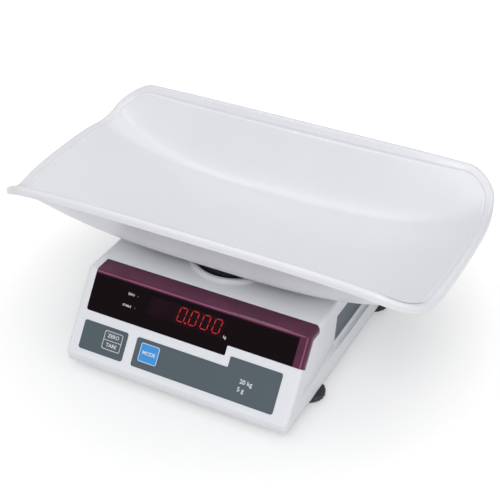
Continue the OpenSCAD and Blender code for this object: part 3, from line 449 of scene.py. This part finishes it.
def print_finish(name, colour, rough=0.45):
    """Silk-screen ink with a slight tooth."""
    material, bench, shader, place = finish_of(name, colour, rough)
    tooth = noise(bench, place, 1500.0, 2.0)
    worn = tuple(c * 0.94 for c in colour)
    plug(bench, bench.blend(tooth.ramp(0.3, 0.8), (*colour, 1.0), (*worn, 1.0)),
         shader, "Base Color")
    bump(bench, shader, tooth, 0.2, 0.00004)
    return material


# ---------------------------------------------------------------- meshes

def face_matrix():
    """Face coordinates in millimetres to the frame in metres."""
    a = math.radians(FACE_ANGLE)
    turn = Matrix(((1, 0, 0), (0, math.cos(a), -math.sin(a)), (0, math.sin(a), math.cos(a))))
    return Matrix.Translation(Vector(FACE_FOOT) * MM) @ (turn * MM).to_4x4()


def add_object(name, mesh, material, body):
    made = bpy.data.objects.new(name, mesh)
    bpy.context.collection.objects.link(made)
    mesh.materials.clear()
    mesh.materials.append(material)
    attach(made, body)
    return made


def prism(bm, outline, low, high):
    """Adds a closed prism over a counter-clockwise outline of face points."""
    count = len(outline)
    rings = []
    for level in (low, high):
        rings.append([bm.verts.new((x, y, level)) for x, y in outline])
    for lower, upper in zip(rings, rings[1:]):
        for i in range(count):
            j = (i + 1) % count
            bm.faces.new((lower[i], lower[j], upper[j], upper[i]))
    bm.faces.new(list(reversed(rings[0])))
    bm.faces.new(rings[-1])


def round_box(x0, x1, y0, y1, r, steps=6):
    """Counter-clockwise outline of a rounded box."""
    points = []
    corners = ((x1 - r, y0 + r, -90), (x1 - r, y1 - r, 0), (x0 + r, y1 - r, 90),
               (x0 + r, y0 + r, 180))
    for cx, cy, start in corners:
        for i in range(steps + 1):
            a = math.radians(start + 90 * i / steps)
            points.append((cx + r * math.cos(a), cy + r * math.sin(a)))
    return points


def frame_outline(bm, outer, inner, low, high):
    """Adds a closed flat ring between two outlines of the same length."""
    rings = [[bm.verts.new((*p, z)) for p in line] for line, z in
             ((outer, low), (outer, high), (inner, high), (inner, low))]
    count = len(outer)
    for first, second in zip(rings, rings[1:] + rings[:1]):
        for i in range(count):
            j = (i + 1) % count
            bm.faces.new((first[i], first[j], second[j], second[i]))


def round_spot(x, y, radius, steps):
    """Counter-clockwise outline of a disc."""
    turns = [2 * math.pi * i / steps for i in range(steps)]
    return [(x + radius * math.cos(a), y + radius * math.sin(a)) for a in turns]


def face_object(name, fill, material, body):
    """Builds a mesh in face millimetres and sets it in the frame."""
    bm = bmesh.new()
    fill(bm)
    bm.transform(face_matrix())
    mesh = bpy.data.meshes.new(name)
    bm.to_mesh(mesh)
    bm.free()
    return add_object(name, mesh, material, body)


def face_words(name, words, size, x, up, out, material, body, depth=0.06):
    """Words on the face, centred, as a thin closed mesh."""
    curve = bpy.data.curves.new(name, "FONT")
    curve.body = words
    curve.size = size
    curve.align_x = "CENTER"
    curve.align_y = "CENTER"
    curve.extrude = depth / 2
    curve.resolution_u = 4
    curve.offset = size * 0.012
    holder = bpy.data.objects.new(name + "_text", curve)
    bpy.context.collection.objects.link(holder)
    bpy.context.view_layer.update()
    graph = bpy.context.evaluated_depsgraph_get()
    mesh = bpy.data.meshes.new_from_object(holder.evaluated_get(graph))
    bpy.data.objects.remove(holder)
    mesh.transform(face_matrix() @ Matrix.Translation((x, up, out)))
    mesh.name = name
    return add_object(name, mesh, material, body)


# ---------------------------------------------------------------- the pan

def add_input(tree, name, default):
    socket = tree.interface.new_socket(name=name, in_out="INPUT", socket_type="NodeSocketFloat")
    socket.default_value = default
    return socket


def height_group(kit):
    """Node group that gives the height of the pan's middle surface over a point of its plan."""
    tree = bpy.data.node_groups.new("Pan height", "GeometryNodeTree")
    for name in ("Along", "Across"):
        add_input(tree, name, 0.0)
    tree.interface.new_socket(name="Height", in_out="OUTPUT", socket_type="NodeSocketFloat")
    bench = Bench(tree)
    entry = tree.nodes.new("NodeGroupInput")
    along, across = (Wire(bench, entry.outputs[i]) for i in range(2))
    half = kit.pan_length / MM / 2
    half_w = kit.pan_width / MM / 2
    fold_y = half_w - kit.wall_run / MM
    floor = kit.floor_height / MM
    left = kit.left_end_height / MM
    end = along.above(0.0) * (kit.right_end_height / MM - left) + left
    low = (abs(along) / half).least(1.1) ** 3.3 * (end - floor) + floor
    run = (abs(along) / half) ** 4.0 * (kit.flare / MM) + kit.wall_run / MM
    t = (abs(across) - fold_y) / run
    soft = (kit.fold_size / MM) / run
    curved = (t + soft).most(0.0)
    rise = (curved * curved / (soft * 4.0)) * (1.0 - t.above(soft)) + t * t.above(soft)
    rise = rise.most(0.0)
    side = (abs(along) / half) ** 5.0 * (-kit.rim_drop / MM) + kit.side_height / MM
    top = low + rise * (side - low)
    leave = tree.nodes.new("NodeGroupOutput")
    tree.links.new(top.socket, leave.inputs[0])
    return tree


class PanShape:
    """Fields of the pan's shape, in millimetres from its centre."""

    END, CORNER, SIDE = 30, 28, 56

    def __init__(self, bench, kit, height):
        self.bench, self.kit, self.height_tree = bench, kit, height
        self.half = kit.pan_length / MM / 2
        self.half_w = kit.pan_width / MM / 2
        self.quarter = self.END + self.CORNER + self.SIDE

    def height(self, x, y):
        """Height of the middle surface over a point."""
        return self.bench.node("GeometryNodeGroup", {"node_tree": self.height_tree}, {0: x, 1: y})

    def normal(self, x, y):
        """Unit normal of the middle surface, from the heights a little to each side."""
        h = 0.2
        dx = (self.height(x + h, y) - self.height(x - h, y)) / (2 * h)
        dy = (self.height(x, y + h) - self.height(x, y - h)) / (2 * h)
        length = (dx * dx + dy * dy + 1.0) ** 0.5
        return -dx / length, -dy / length, 1.0 / length

    def plan(self, share, step):
        """Point of the ring at a share of the way to the rim."""
        k = self.quarter
        turn = (step / (4.0 * k)).mod(1.0) * (4.0 * k)
        q = (turn / k).floor()
        j = turn - q * k
        odd = q.mod(2.0)
        j = j + odd * (float(k) - 2.0 * j)
        b = share * self.half_w
        a = b + (self.half - self.half_w)
        r = (share * (self.kit.corner_size / MM)).least(b * 0.98)
        c = ((j - self.END) / self.CORNER).clamp() * (math.pi / 2)
        s = ((float(k) - j) / self.SIDE).clamp()
        e = (j / self.END).clamp()
        y = (b - r) * e + r * c.sin()
        bow = share * ((y / b.most(0.001)) ** 3.0) * (self.kit.end_bow / MM)
        x = (a - r - bow) * s + r * c.cos()
        flared = (abs(x) / self.half) ** 4.0 * (self.kit.flare / MM / self.half_w) + 1.0
        right = 1.0 - 2.0 * (q.above(0.5) * (1.0 - q.above(2.5)))
        back = 1.0 - 2.0 * q.above(1.5)
        return x * right, y * flared * back


def pan_tree(kit, material):
    """Geometry nodes of the pan: bands from the floor over the rolled rim to the underside."""
    tree = bpy.data.node_groups.new("Moulded pan", "GeometryNodeTree")
    tree.interface.new_socket(name="Geometry", in_out="INPUT", socket_type="NodeSocketGeometry")
    inputs = {
        "Rim radius": add_input(tree, "Rim radius", kit.rim_radius / MM),
        "Wall": add_input(tree, "Wall", kit.pan_wall / MM),
        "Skirt": add_input(tree, "Skirt", kit.skirt / MM),
        "Behind hub": add_input(tree, "Behind hub", PAN_BEHIND_HUB),
    }
    tree.interface.new_socket(name="Geometry", in_out="OUTPUT", socket_type="NodeSocketGeometry")
    bench = Bench(tree)
    entry = tree.nodes.new("NodeGroupInput")
    rim_r, wall, skirt, behind = (Wire(bench, entry.outputs[i]) for i in range(1, 5))
    shape = PanShape(bench, kit, height_group(kit))
    steps = 4 * shape.quarter
    bands = []

    def band(rows, place):
        """One grid whose rows follow the section; place gives its points from step and share."""
        grid = bench.node("GeometryNodeMeshGrid", {}, {
            "Size X": float(steps), "Size Y": 1.0, "Vertices X": steps + 1, "Vertices Y": rows})
        spot = bench.split(bench.node("GeometryNodeInputPosition"))
        x, y, z = place(spot[0] + steps / 2.0, spot[1] + 0.5)
        target = bench.join(x * MM, (y + behind) * MM + HUB_Y * MM, z * MM)
        bands.append(bench.node("GeometryNodeSetPosition", {}, {
            "Geometry": grid, "Position": target}))

    def shell(offset, share):
        """The wall's upper or under side, at an offset from its middle surface."""
        def place(step, v):
            x, y = shape.plan(share(v), step)
            nx, ny, nz = shape.normal(x, y)
            return x + nx * offset, y + ny * offset, shape.height(x, y) + nz * offset
        return place

    def grooved(step, v):
        """The last of the wall, with a fine groove before the rolled rim."""
        share = v * (1.0 - GROOVE_START) + GROOVE_START
        x, y = shape.plan(share, step)
        nx, ny, nz = shape.normal(x, y)
        near = (1.0 - ((share - 0.966) / 0.011) ** 2.0).most(0.0)
        offset = rim_r - near * near * 1.0
        return x + nx * offset, y + ny * offset, shape.height(x, y) + nz * offset

    def rim(step):
        """Centre of the roll, its outward direction and the tilt of the wall there."""
        one = bench.node("ShaderNodeValue")
        one.socket.default_value = 1.0
        x, y = shape.plan(one, step)
        bx, by = shape.plan(one, step - 0.5)
        ax, ay = shape.plan(one, step + 0.5)
        tx, ty = ax - bx, ay - by
        length = (tx * tx + ty * ty) ** 0.5
        nx, ny, nz = shape.normal(x, y)
        tilt = bench.node("ShaderNodeMath", {"operation": "ARCCOSINE"}, [nz])
        return x, y, shape.height(x, y), ty / length, -tx / length, tilt

    def roll(step, v):
        """The rolled rim, from the top of the wall over to the skirt."""
        x, y, z, ox, oy, tilt = rim(step)
        angle = tilt - (tilt + math.pi / 2) * v
        side = angle.sin() * rim_r
        return x - ox * side, y - oy * side, z + angle.cos() * rim_r

    def skirt_wall(step, v):
        """The skirt's outer side."""
        x, y, z, ox, oy, _ = rim(step)
        return x + ox * rim_r, y + oy * rim_r, z - skirt * v

    def hem(step, v):
        """Round the lower edge of the skirt, then up its inner side."""
        x, y, z, ox, oy, _ = rim(step)
        turn = (v * 3.0).clamp() * math.pi
        thick = wall * 0.4
        reach = rim_r - thick + turn.cos() * thick
        rise = ((v - 0.3333) / 0.6667).clamp() * (skirt - 1.0)
        return x + ox * reach, y + oy * reach, z - skirt - turn.sin() * thick * 0.9 + rise

    def under_roll(step, v):
        """The hollow side of the rolled rim."""
        x, y, z, ox, oy, tilt = rim(step)
        inner = rim_r - wall
        start = rim_r - wall * 0.8
        side = -tilt.sin() * inner
        cup = (v * math.pi / 2).sin()
        rise = (v * math.pi).sin() * 0.3
        reach = start + (side - start) * cup
        return x + ox * reach, y + oy * reach, z - 1.0 + (tilt.cos() * inner + 1.0) * v + rise

    band(66, shell(rim_r, lambda v: (v ** 0.85) * GROOVE_START))
    band(22, grooved)
    band(16, roll)
    band(6, skirt_wall)
    band(13, hem)
    band(6, under_roll)
    band(56, shell(rim_r - wall, lambda v: (1.0 - v) ** 0.8))
    joined = bench.node("GeometryNodeJoinGeometry")
    for piece in reversed(bands):
        tree.links.new(piece.socket, joined.socket.node.inputs[0])
    merged = bench.node("GeometryNodeMergeByDistance", {}, {
        "Geometry": joined, "Distance": 0.00002})
    smooth = bench.node("GeometryNodeSetShadeSmooth", {}, {
        "Geometry": merged, "Shade Smooth": True})
    real = bench.node("GeometryNodeRealizeInstances", {}, [smooth])
    done = bench.node("GeometryNodeSetMaterial", {}, {"Geometry": real, "Material": material})
    leave = tree.nodes.new("NodeGroupOutput")
    tree.links.new(done.socket, leave.inputs[0])
    return tree, inputs


def grown(name, tree, inputs, values):
    """Runs a node tree on an empty mesh and returns the plain mesh it makes."""
    seed = bpy.data.objects.new(name + "_seed", bpy.data.meshes.new(name + "_seed"))
    bpy.context.collection.objects.link(seed)
    modifier = seed.modifiers.new("Grow", "NODES")
    modifier.node_group = tree
    for key, value in values.items():
        modifier[inputs[key].identifier] = value
    bpy.context.view_layer.update()
    graph = bpy.context.evaluated_depsgraph_get()
    mesh = bpy.data.meshes.new_from_object(seed.evaluated_get(graph))
    bpy.data.objects.remove(seed)
    mesh.name = name
    return mesh


# ---------------------------------------------------------------- settings

class SCALE_PG_sizes(bpy.types.PropertyGroup):
    """Sizes and colours of the baby scale's dressed pieces."""
    pan_length: bpy.props.FloatProperty(
        name="Pan length", description="Between the centre lines of the end rims",
        default=0.550, unit="LENGTH")
    pan_width: bpy.props.FloatProperty(
        name="Pan width", description="Between the centre lines of the long rims",
        default=0.291, unit="LENGTH")
    floor_height: bpy.props.FloatProperty(
        name="Floor height", description="Middle surface of the pan's floor",
        default=0.1256, unit="LENGTH")
    left_end_height: bpy.props.FloatProperty(
        name="Left end height", description="Height of the end rim over the digits",
        default=0.169, unit="LENGTH")
    right_end_height: bpy.props.FloatProperty(
        name="Right end height", description="Height of the other end rim",
        default=0.178, unit="LENGTH")
    side_height: bpy.props.FloatProperty(
        name="Side height", description="Height of the long rims",
        default=0.206, unit="LENGTH")
    rim_drop: bpy.props.FloatProperty(
        name="Rim drop", description="How far the long rims come down to the ends",
        default=0.007, unit="LENGTH")
    wall_run: bpy.props.FloatProperty(
        name="Wall run", description="From the fold to the rim, in plan",
        default=0.0465, unit="LENGTH")
    fold_size: bpy.props.FloatProperty(
        name="Fold size", description="Half length of the round between floor and wall",
        default=0.017, unit="LENGTH")
    corner_size: bpy.props.FloatProperty(
        name="Corner radius", description="Radius of the rim's plan corners",
        default=0.0285, unit="LENGTH")
    flare: bpy.props.FloatProperty(
        name="Flare", description="How far the long rims flare out",
        default=0.0045, unit="LENGTH")
    end_bow: bpy.props.FloatProperty(
        name="End bow", description="How far the end rims bow out",
        default=0.022, unit="LENGTH")
    rim_radius: bpy.props.FloatProperty(
        name="Rim radius", description="Radius of the rolled rim",
        default=0.0044, unit="LENGTH")
    pan_wall: bpy.props.FloatProperty(
        name="Pan wall", description="Wall thickness of the pan",
        default=0.003, unit="LENGTH")
    skirt: bpy.props.FloatProperty(
        name="Skirt", description="Depth of the skirt below the rim's centre",
        default=0.005, unit="LENGTH")
    digit_height: bpy.props.FloatProperty(
        name="Digit height", description="Height of the lit digits",
        default=0.0188, unit="LENGTH")
    reading: bpy.props.StringProperty(
        name="Reading", description="Number shown by the display",
        default="0.000")
    housing_colour: bpy.props.FloatVectorProperty(
        name="Housing", description="Colour of the body",
        size=3, subtype="COLOR", default=(0.80, 0.81, 0.84))
    pan_colour: bpy.props.FloatVectorProperty(
        name="Pan", description="Colour of the pan",
        size=3, subtype="COLOR", default=(0.80, 0.80, 0.83))
    slate_colour: bpy.props.FloatVectorProperty(
        name="Keypad", description="Colour of overlays and side panels",
        size=3, subtype="COLOR", default=(0.080, 0.107, 0.125))
    key_colour: bpy.props.FloatVectorProperty(
        name="Mode key", description="Colour of the blue key",
        size=3, subtype="COLOR", default=(0.045, 0.30, 0.72))
    tint_colour: bpy.props.FloatVectorProperty(
        name="Tint", description="Colour of the tinted window",
        size=3, subtype="COLOR", default=(0.092, 0.020, 0.049))


FINISHES = {}          # materials by the name of their finish, filled by the first operator


# ---------------------------------------------------------------- operators

class SCALE_OT_finishes(bpy.types.Operator):
    """Makes the finishes and gives them to the CAD parts"""
    bl_idname = "baby_scale.finishes"
    bl_label = "Finishes"

    def execute(self, context):
        kit = context.scene.baby_scale
        FINISHES.update(make_finishes(kit))
        FINISHES["tinted_acrylic"] = window_finish(kit)
        FINISHES["vial_green"] = vial_finish()
        FINISHES["led_off"] = moulded("led_off", (0.010, 0.003, 0.003), 0.45, grain=0.1, soil=0.1)
        FINISHES["led_red"] = lamp_finish("led_red", (1.0, 0.045, 0.025), 4.0)
        FINISHES["indicator_off"] = moulded("indicator_off", (0.18, 0.02, 0.02), 0.25, grain=0.1)
        FINISHES["lens_grey"] = moulded("lens_grey", (0.10, 0.085, 0.09), 0.2, grain=0.05)
        FINISHES["print_white"] = print_finish("print_white", (0.78, 0.80, 0.82))
        for part in frame["record"]["subparts"]:
            paint(FINISHES[part["material_slot"]], part["node"])
        paint(FINISHES["led_off"], "led_digits")
        paint(FINISHES["indicator_off"], "indicator_leds")
        paint(FINISHES["board_black"], "display_board")
        return {"FINISHED"}


class SCALE_OT_pan(bpy.types.Operator):
    """Makes the moulded pan in full detail"""
    bl_idname = "baby_scale.pan"
    bl_label = "Pan"

    def execute(self, context):
        kit = context.scene.baby_scale
        tree, inputs = pan_tree(kit, FINISHES["pan_white"])
        mesh = grown("moulded_pan", tree, inputs, {
            "Rim radius": kit.rim_radius / MM, "Wall": kit.pan_wall / MM,
            "Skirt": kit.skirt / MM, "Behind hub": PAN_BEHIND_HUB})
        if len(mesh.polygons) < 1000:
            raise RuntimeError("the pan came out empty")
        pan = add_object("moulded_pan", mesh, FINISHES["pan_white"], "pan_body")
        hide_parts("pan")
        return {"FINISHED"}


# Cuts along the beam as shares of its length
BEAM_CUTS = (0.32, 0.4, 0.46, 0.5, 0.54, 0.6, 0.68)


class SCALE_OT_load_cell(bpy.types.Operator):
    """Makes the load cell's beam, cut across at shares of its length"""
    bl_idname = "baby_scale.load_cell"
    bl_label = "Load cell"

    def execute(self, context):
        cad = NODES["load_cell"]
        bm = bmesh.new()
        bm.from_mesh(cad.data)
        bm.transform(cad.matrix_world)
        (x0, y0, z0), (x1, y1, z1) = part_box("load_cell")
        cuts = [x0 + (x1 - x0) * share for share in BEAM_CUTS]
        for cut in cuts:
            bmesh.ops.bisect_plane(bm, geom=bm.verts[:] + bm.edges[:] + bm.faces[:],
                                   plane_co=(cut, 0, 0), plane_no=(1, 0, 0), dist=1e-6)
        mesh = bpy.data.meshes.new("load_cell_beam")
        bm.to_mesh(mesh)
        bm.free()
        beam = bpy.data.objects.new("load_cell_beam", mesh)
        bpy.context.collection.objects.link(beam)
        mesh.materials.clear()
        mesh.materials.append(FINISHES["load_cell_alu"])
        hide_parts("load_cell")
        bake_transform(beam)
        return {"FINISHED"}


# Bars of a seven-segment digit that are lit for each number
LIT = {"0": "abcdef", "1": "bc", "2": "abged", "3": "abgcd", "4": "fgbc", "5": "afgcd",
       "6": "afgedc", "7": "abc", "8": "abcdefg", "9": "abcdfg"}


class SCALE_OT_display(bpy.types.Operator):
    """Lights the reading behind the window"""
    bl_idname = "baby_scale.display"
    bl_label = "Display"

    def execute(self, context):
        kit = context.scene.baby_scale
        height = kit.digit_height / MM
        half = height / 2 - 1.0
        slant = math.tan(math.radians(8))
        bars = {
            "a": ((-3.9, half), (3.9, half)),
            "g": ((-3.9, 0), (3.9, 0)),
            "d": ((-3.9, -half), (3.9, -half)),
            "f": ((-4.5, 0.6), (-4.5, half - 0.6)),
            "b": ((4.5, 0.6), (4.5, half - 0.6)),
            "e": ((-4.5, -half + 0.6), (-4.5, -0.6)),
            "c": ((4.5, -half + 0.6), (4.5, -0.6))}
        digits = [c for c in kit.reading if c != "."]
        first = DIGITS_MIDDLE - DIGIT_PITCH * (len(digits) - 1) / 2
        bar_width = 1.02
        front = DIGIT_LEVEL + INK_PROUD

        def fill(bm):
            for i, digit in enumerate(digits):
                centre = first + DIGIT_PITCH * i
                for key in LIT[digit]:
                    (x0, y0), (x1, y1) = bars[key]
                    a = Vector((x0 + y0 * slant, y0))
                    b = Vector((x1 + y1 * slant, y1))
                    d = (b - a).normalized() * bar_width
                    n = Vector((-d.y, d.x)) * 0.5
                    outline = [a, a + d - n, b - d - n, b, b - d + n, a + d + n]
                    prism(bm, [(p.x + centre, p.y + DIGITS_UP) for p in outline],
                          DIGIT_LEVEL - INK_SUNK, front)
            dot = kit.reading.find(".")
            if dot > 0:
                x = first + DIGIT_PITCH * (dot - 0.5) - slant * half
                prism(bm, round_spot(x, DIGITS_UP - half, 1.1, 12), DIGIT_LEVEL - 0.35, front)
        face_object("lit_segments", fill, FINISHES["led_red"], "chassis")
        return {"FINISHED"}


class SCALE_OT_printing(bpy.types.Operator):
    """Prints the key outlines and legends"""
    bl_idname = "baby_scale.printing"
    bl_label = "Printing"

    def execute(self, context):
        white = FINISHES["print_white"]
        low, high = KEY_TOP - INK_SUNK, KEY_TOP + INK_PROUD

        def key_edge(x, inset, r):
            """Outline of a key's top, drawn in from its edge."""
            w, h = KEY_HALF_WIDTH - inset, KEY_HALF_HEIGHT - inset
            return round_box(x - w, x + w, KEYS_UP - h, KEYS_UP + h, r)

        for name, body, x, words in (
                ("zero_tare", "zero_key_body", -90.4, (("ZERO", 5.6), ("TARE", -5.6))),
                ("mode", "mode_key_body", -39.6, (("MODE", 0.0),))):

            def border(bm, x=x, split=len(words) > 1):
                frame_outline(bm, key_edge(x, 0.25, 2.3), key_edge(x, 0.95, 1.6), low, high)
                if split:
                    w = KEY_HALF_WIDTH - 1.0
                    line = round_box(x - w, x + w, KEYS_UP - 0.35, KEYS_UP + 0.25, 0.25, 3)
                    prism(bm, line, low, high)
            face_object(name + "_outline", border, white, body)
            for i, (word, lift) in enumerate(words):
                face_words(f"{name}_legend_{i}", word, 6.2, x, KEYS_UP + lift,
                           KEY_TOP + WORD_LEVEL, white, body)

        def lenses(bm):
            for up in LAMP_HEIGHTS:
                prism(bm, round_spot(LAMP_X, up, LAMP_RADIUS, 20), 0.28, 0.40)
        face_object("indicator_lenses", lenses, FINISHES["lens_grey"], "chassis")
        for name, word, size, x, up in (
                ("zero_mark", "ZERO", 3.6, LAMP_X - 9.0, LAMP_HEIGHTS[0]),
                ("stable_mark", "STABLE", 3.6, LAMP_X - 11.0, LAMP_HEIGHTS[1]),
                ("unit_mark", "kg", 4.4, 47.5, 76.0),
                ("upper_rating", "20 kg", 7.4, 88.0, 33.5),
                ("lower_rating", "5 g", 7.4, 83.6, 24.0)):
            face_words(name, word, size, x, up, 0.32, white, "chassis", 0.08)
        return {"FINISHED"}


# Name, power in watts, size, place and the point that it faces, in metres
SOFTBOXES = (
    ("key_softbox", 22.5, (1.5, 1.1), (0.45, -1.5, 1.85), (0, 0, 0.12)),
    ("top_softbox", 6.0, (1.8, 1.4), (0.2, 0.3, 2.1), (0, 0, 0.12)),
    ("streak", 4.0, (1.7, 0.16), (-0.75, -0.2, 1.9), (0, 0.05, 0.15)),
    ("right_fill", 5.0, (1.2, 1.2), (1.8, -0.4, 1.0), (0, 0, 0.1)),
)


def any_ray(bench, *kinds):
    """1 for rays of the given kinds, 0 for others."""
    path = bench.tree.nodes.new("ShaderNodeLightPath")
    seen = Wire(bench, path.outputs[kinds[0]])
    for kind in kinds[1:]:
        seen = seen.most(Wire(bench, path.outputs[kind]))
    return seen


def studio_floor():
    """White floor that keeps the shadow under the scale and is bright further out."""
    mesh = bpy.data.meshes.new("floor")
    bm = bmesh.new()
    bmesh.ops.create_grid(bm, x_segments=1, y_segments=1, size=6.0)
    bm.to_mesh(mesh)
    bm.free()
    material = bpy.data.materials.new("studio_floor")
    material.use_nodes = True
    bench = Bench(material.node_tree)
    shader = bench.tree.nodes["Principled BSDF"]
    shader.inputs["Base Color"].default_value = (0.86, 0.86, 0.86, 1.0)
    shader.inputs["Roughness"].default_value = 0.9
    place = bench.node("ShaderNodeTexCoord", {}, {}, out=3)
    x, y, _ = bench.split(place)
    reach = (x * x + y * y) ** 0.5
    seen = any_ray(bench, "Is Camera Ray", "Is Glossy Ray", "Is Transmission Ray")
    white = bench.node("ShaderNodeEmission", {}, {"Color": (1, 1, 1, 1), "Strength": 1.12})
    share = seen * (0.34 + 0.66 * reach.ramp(0.17, 0.46))
    matt = Wire(bench, shader.outputs[0])
    mixed = bench.node("ShaderNodeMixShader", {}, [share, matt, white])
    # from below the floor isn't seen, so the underside of the scale is
    below = bench.node("ShaderNodeNewGeometry", {}, {}, out=6)
    clear = bench.node("ShaderNodeBsdfTransparent")
    mixed = bench.node("ShaderNodeMixShader", {}, [below, mixed, clear])
    plug(bench, mixed, bench.tree.nodes["Material Output"], "Surface")
    mesh.materials.append(material)
    floor = bpy.data.objects.new("floor", mesh)
    bpy.context.collection.objects.link(floor)


def studio_world():
    """White behind the scale, and a softer, slightly cool light on it."""
    world = bpy.data.worlds.new("studio")
    world.use_nodes = True
    bench = Bench(world.node_tree)
    soft = bench.tree.nodes["Background"]
    soft.inputs["Color"].default_value = (0.95, 0.97, 1.0, 1.0)
    soft.inputs["Strength"].default_value = 0.42
    seen = any_ray(bench, "Is Camera Ray", "Is Transmission Ray")
    bright = bench.node("ShaderNodeBackground", {}, {"Color": (1, 1, 1, 1), "Strength": 1.0})
    mixed = bench.node("ShaderNodeMixShader", {}, [seen, Wire(bench, soft.outputs[0]), bright])
    plug(bench, mixed, bench.tree.nodes["World Output"], "Surface")
    return world


def softbox(name, energy, size, place, aim):
    """Rectangular area light at a place, facing a point."""
    data = bpy.data.lights.new(name, "AREA")
    data.energy = energy
    data.shape = "RECTANGLE"
    data.size, data.size_y = size
    made = bpy.data.objects.new(name, data)
    made.location = place
    made.rotation_euler = (Vector(aim) - Vector(place)).to_track_quat("-Z", "Y").to_euler()
    bpy.context.collection.objects.link(made)


def photo_camera():
    """Camera that sees the scale as the photograph does."""
    data = bpy.data.cameras.new("camera")
    data.sensor_width = SENSOR_WIDTH
    data.lens = FOCAL_PIXELS / PICTURE_PIXELS * SENSOR_WIDTH
    data.clip_start = 0.01
    camera = bpy.data.objects.new("camera", data)
    camera.location = CAMERA_PLACE
    camera.rotation_euler = (math.radians(90 - CAMERA_ABOVE), 0, math.radians(CAMERA_ASIDE))
    bpy.context.collection.objects.link(camera)
    return camera


class SCALE_OT_stage(bpy.types.Operator):
    """Sets the floor, the light and the camera"""
    bl_idname = "baby_scale.stage"
    bl_label = "Stage"

    def execute(self, context):
        scene = context.scene
        studio_floor()
        scene.world = studio_world()
        for box in SOFTBOXES:
            softbox(*box)
        scene.camera = photo_camera()
        scene.view_settings.view_transform = "Standard"
        return {"FINISHED"}


STEPS = (SCALE_OT_finishes, SCALE_OT_pan, SCALE_OT_load_cell, SCALE_OT_display,
         SCALE_OT_printing, SCALE_OT_stage)


class SCALE_PT_panel(bpy.types.Panel):
    """Lists the steps that build the dressed scale"""
    bl_label = "Baby scale"
    bl_idname = "SCALE_PT_panel"
    bl_space_type = "VIEW_3D"
    bl_region_type = "UI"
    bl_category = "Baby scale"

    def draw(self, context):
        kit = context.scene.baby_scale
        for key in kit.bl_rna.properties.keys():
            if key not in ("rna_type", "name"):
                self.layout.prop(kit, key)
        for step in STEPS:
            self.layout.operator(step.bl_idname)


CLASSES = (SCALE_PG_sizes, *STEPS, SCALE_PT_panel)


def register():
    for made in CLASSES:
        bpy.utils.register_class(made)
    bpy.types.Scene.baby_scale = bpy.props.PointerProperty(type=SCALE_PG_sizes)


def unregister():
    del bpy.types.Scene.baby_scale
    for made in reversed(CLASSES):
        bpy.utils.unregister_class(made)


def main():
    register()
    for step in STEPS:
        group, name = step.bl_idname.split(".")
        getattr(getattr(bpy.ops, group), name)()


if __name__ == "__main__":
    main()
